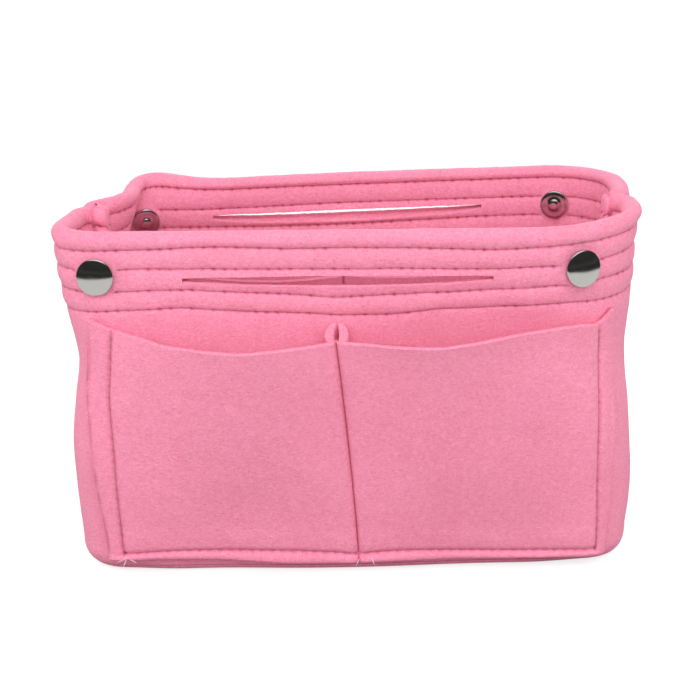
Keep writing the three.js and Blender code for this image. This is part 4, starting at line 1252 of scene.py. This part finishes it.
# floor, light and camera
stage = {
    "size": 8.0, "floor": 0.45, "glow": 0.74, "tableEdge": (0.40, 0.50), "mirrored": (0.8, 0.03), "sky": 0.47,
    "bands": ((0.0, 0.6), (0.49, 0.06), (0.60, 0.03), (0.84, 0.04), (0.90, 0.4), (0.95, 1.2), (1.0, 1.3)),
}
white = (1, 1, 1, 1)
bpy.ops.object.select_all(action="DESELECT")
bpy.ops.mesh.primitive_plane_add(size=stage["size"], location=(0, 0, 0))
floor = bpy.context.object
floor.name = "studioFloor"
floorLook = bpy.data.materials.new("studioFloor")
nodes, add, feed = treeOf(floorLook)
matt = nodes["Principled BSDF"]
feed(matt.inputs["Base Color"], (*[stage["floor"]] * 3, 1))
feed(matt.inputs["Roughness"], 1.0)
feed(matt.inputs["Specular IOR Level"], 0.0)
rays = add("LightPath").outputs
glow = add("Emission", {"Strength": stage["glow"], "Color": rays["Is Camera Ray"]})
both = add("AddShader", {0: matt.outputs[0], 1: glow.outputs[0]})
# reflections see a white table that ends in a dark room
fromMiddle = add("VectorMath", {0: add("TexCoord").outputs["Object"]}, operation="LENGTH").outputs["Value"]
ranges = zip(("From Min", "From Max", "To Min", "To Max"), (*stage["tableEdge"], *stage["mirrored"]))
table = add("MapRange", {"Value": fromMiddle, **dict(ranges)})
mirrored = add("Emission", {"Color": table.outputs["Result"]})
shown = add("MixShader", {0: rays["Is Glossy Ray"], 1: both.outputs[0], 2: mirrored.outputs[0]})
feed(nodes["Material Output"].inputs["Surface"], shown.outputs[0])
floor.data.materials.append(floorLook)

world = bpy.data.worlds.new("studio")
bpy.context.scene.world = world
nodes, add, feed = treeOf(world)
sky = nodes["Background"]
feed(sky.inputs["Color"], white)
feed(sky.inputs["Strength"], stage["sky"])
backdrop = add("Background", {"Color": white, "Strength": 1.0})
height = add("SeparateXYZ", {0: add("TexCoord").outputs["Generated"]}).outputs["Z"]
skyLevel = add("MapRange", {"Value": height, "From Min": -1.0}).outputs["Result"]
greys = [(position, (level,) * 3) for position, level in stage["bands"]]
mirrored = add("Background", {"Color": setStops(add("ValToRGB", {"Fac": skyLevel}), greys)})
rays = add("LightPath").outputs
glossy = add("MixShader", {0: rays["Is Glossy Ray"], 1: sky.outputs[0], 2: mirrored.outputs[0]})
shown = add("MixShader", {0: rays["Is Camera Ray"], 1: glossy.outputs[0], 2: backdrop.outputs[0]})
feed(nodes["World Output"].inputs["Surface"], shown.outputs[0])

lamps = {
    "keySun": {"power": 0.5, "spread": 50, "lean": (30, -8, 0)},
    "frontBox": {"power": 1.04, "place": (0.0, -0.32, 0.295), "aim": (0.0, -0.05, 0.09), "size": (0.6, 0.3)},
    "backBox": {"power": 1.5, "place": (0.0, 0.38, 0.30), "aim": (0.0, 0.05, 0.08), "size": (0.6, 0.3)},
    "leftBox": {"power": 0.75, "place": (-0.5, -0.16, 0.24), "aim": (-0.08, 0.0, 0.07), "size": (0.4, 0.4)},
    "rightBox": {"power": 0.75, "place": (0.5, -0.16, 0.24), "aim": (0.08, 0.0, 0.07), "size": (0.4, 0.4)},
}
for name, values in lamps.items():
    lamp = bpy.data.lights.new(name, "AREA" if "aim" in values else "SUN")
    lamp.energy = values["power"]
    holder = bpy.data.objects.new(name, lamp)
    if "aim" in values:
        lamp.shape = "RECTANGLE"
        lamp.size, lamp.size_y = values["size"]
        holder.location = values["place"]
        toAim = Vector(values["aim"]) - Vector(values["place"])
        holder.rotation_euler = toAim.to_track_quat("-Z", "Y").to_euler()
    else:
        lamp.angle = math.radians(values["spread"])
        holder.rotation_euler = [math.radians(a) for a in values["lean"]]
    holder.visible_glossy = holder.visible_camera = False  # the snaps mirror the sky's bands, not the lamps
    bpy.context.scene.collection.objects.link(holder)

view = {
    "place": (10.3, -643.7, 278.4), "yaw": -0.985, "down": 18.228, "roll": -1.645,
    "focal": 1896.1, "frame": 700, "reach": 20,
}
camera = bpy.data.cameras.new("camera")
camera.lens = camera.sensor_width * view["focal"] / view["frame"]
camera.clip_end = view["reach"]
cameraHolder = bpy.data.objects.new("camera", camera)
bpy.context.scene.collection.objects.link(cameraHolder)
yaw, down, roll = (math.radians(view[k]) for k in ("yaw", "down", "roll"))
forward = Vector((math.sin(yaw) * math.cos(down), math.cos(yaw) * math.cos(down), -math.sin(down)))
level = forward.cross(Vector((0, 0, 1))).normalized()
upright = level.cross(forward)
right = level * math.cos(roll) + upright * math.sin(roll)
above = upright * math.cos(roll) - level * math.sin(roll)
turn = Matrix((right, above, -forward)).transposed().to_4x4()
cameraHolder.matrix_world = Matrix.Translation(Vector(view["place"]) / 1000) @ turn
bpy.context.scene.camera = cameraHolder
bpy.context.scene.view_settings.view_transform = "Standard"
print("camera and light ready")
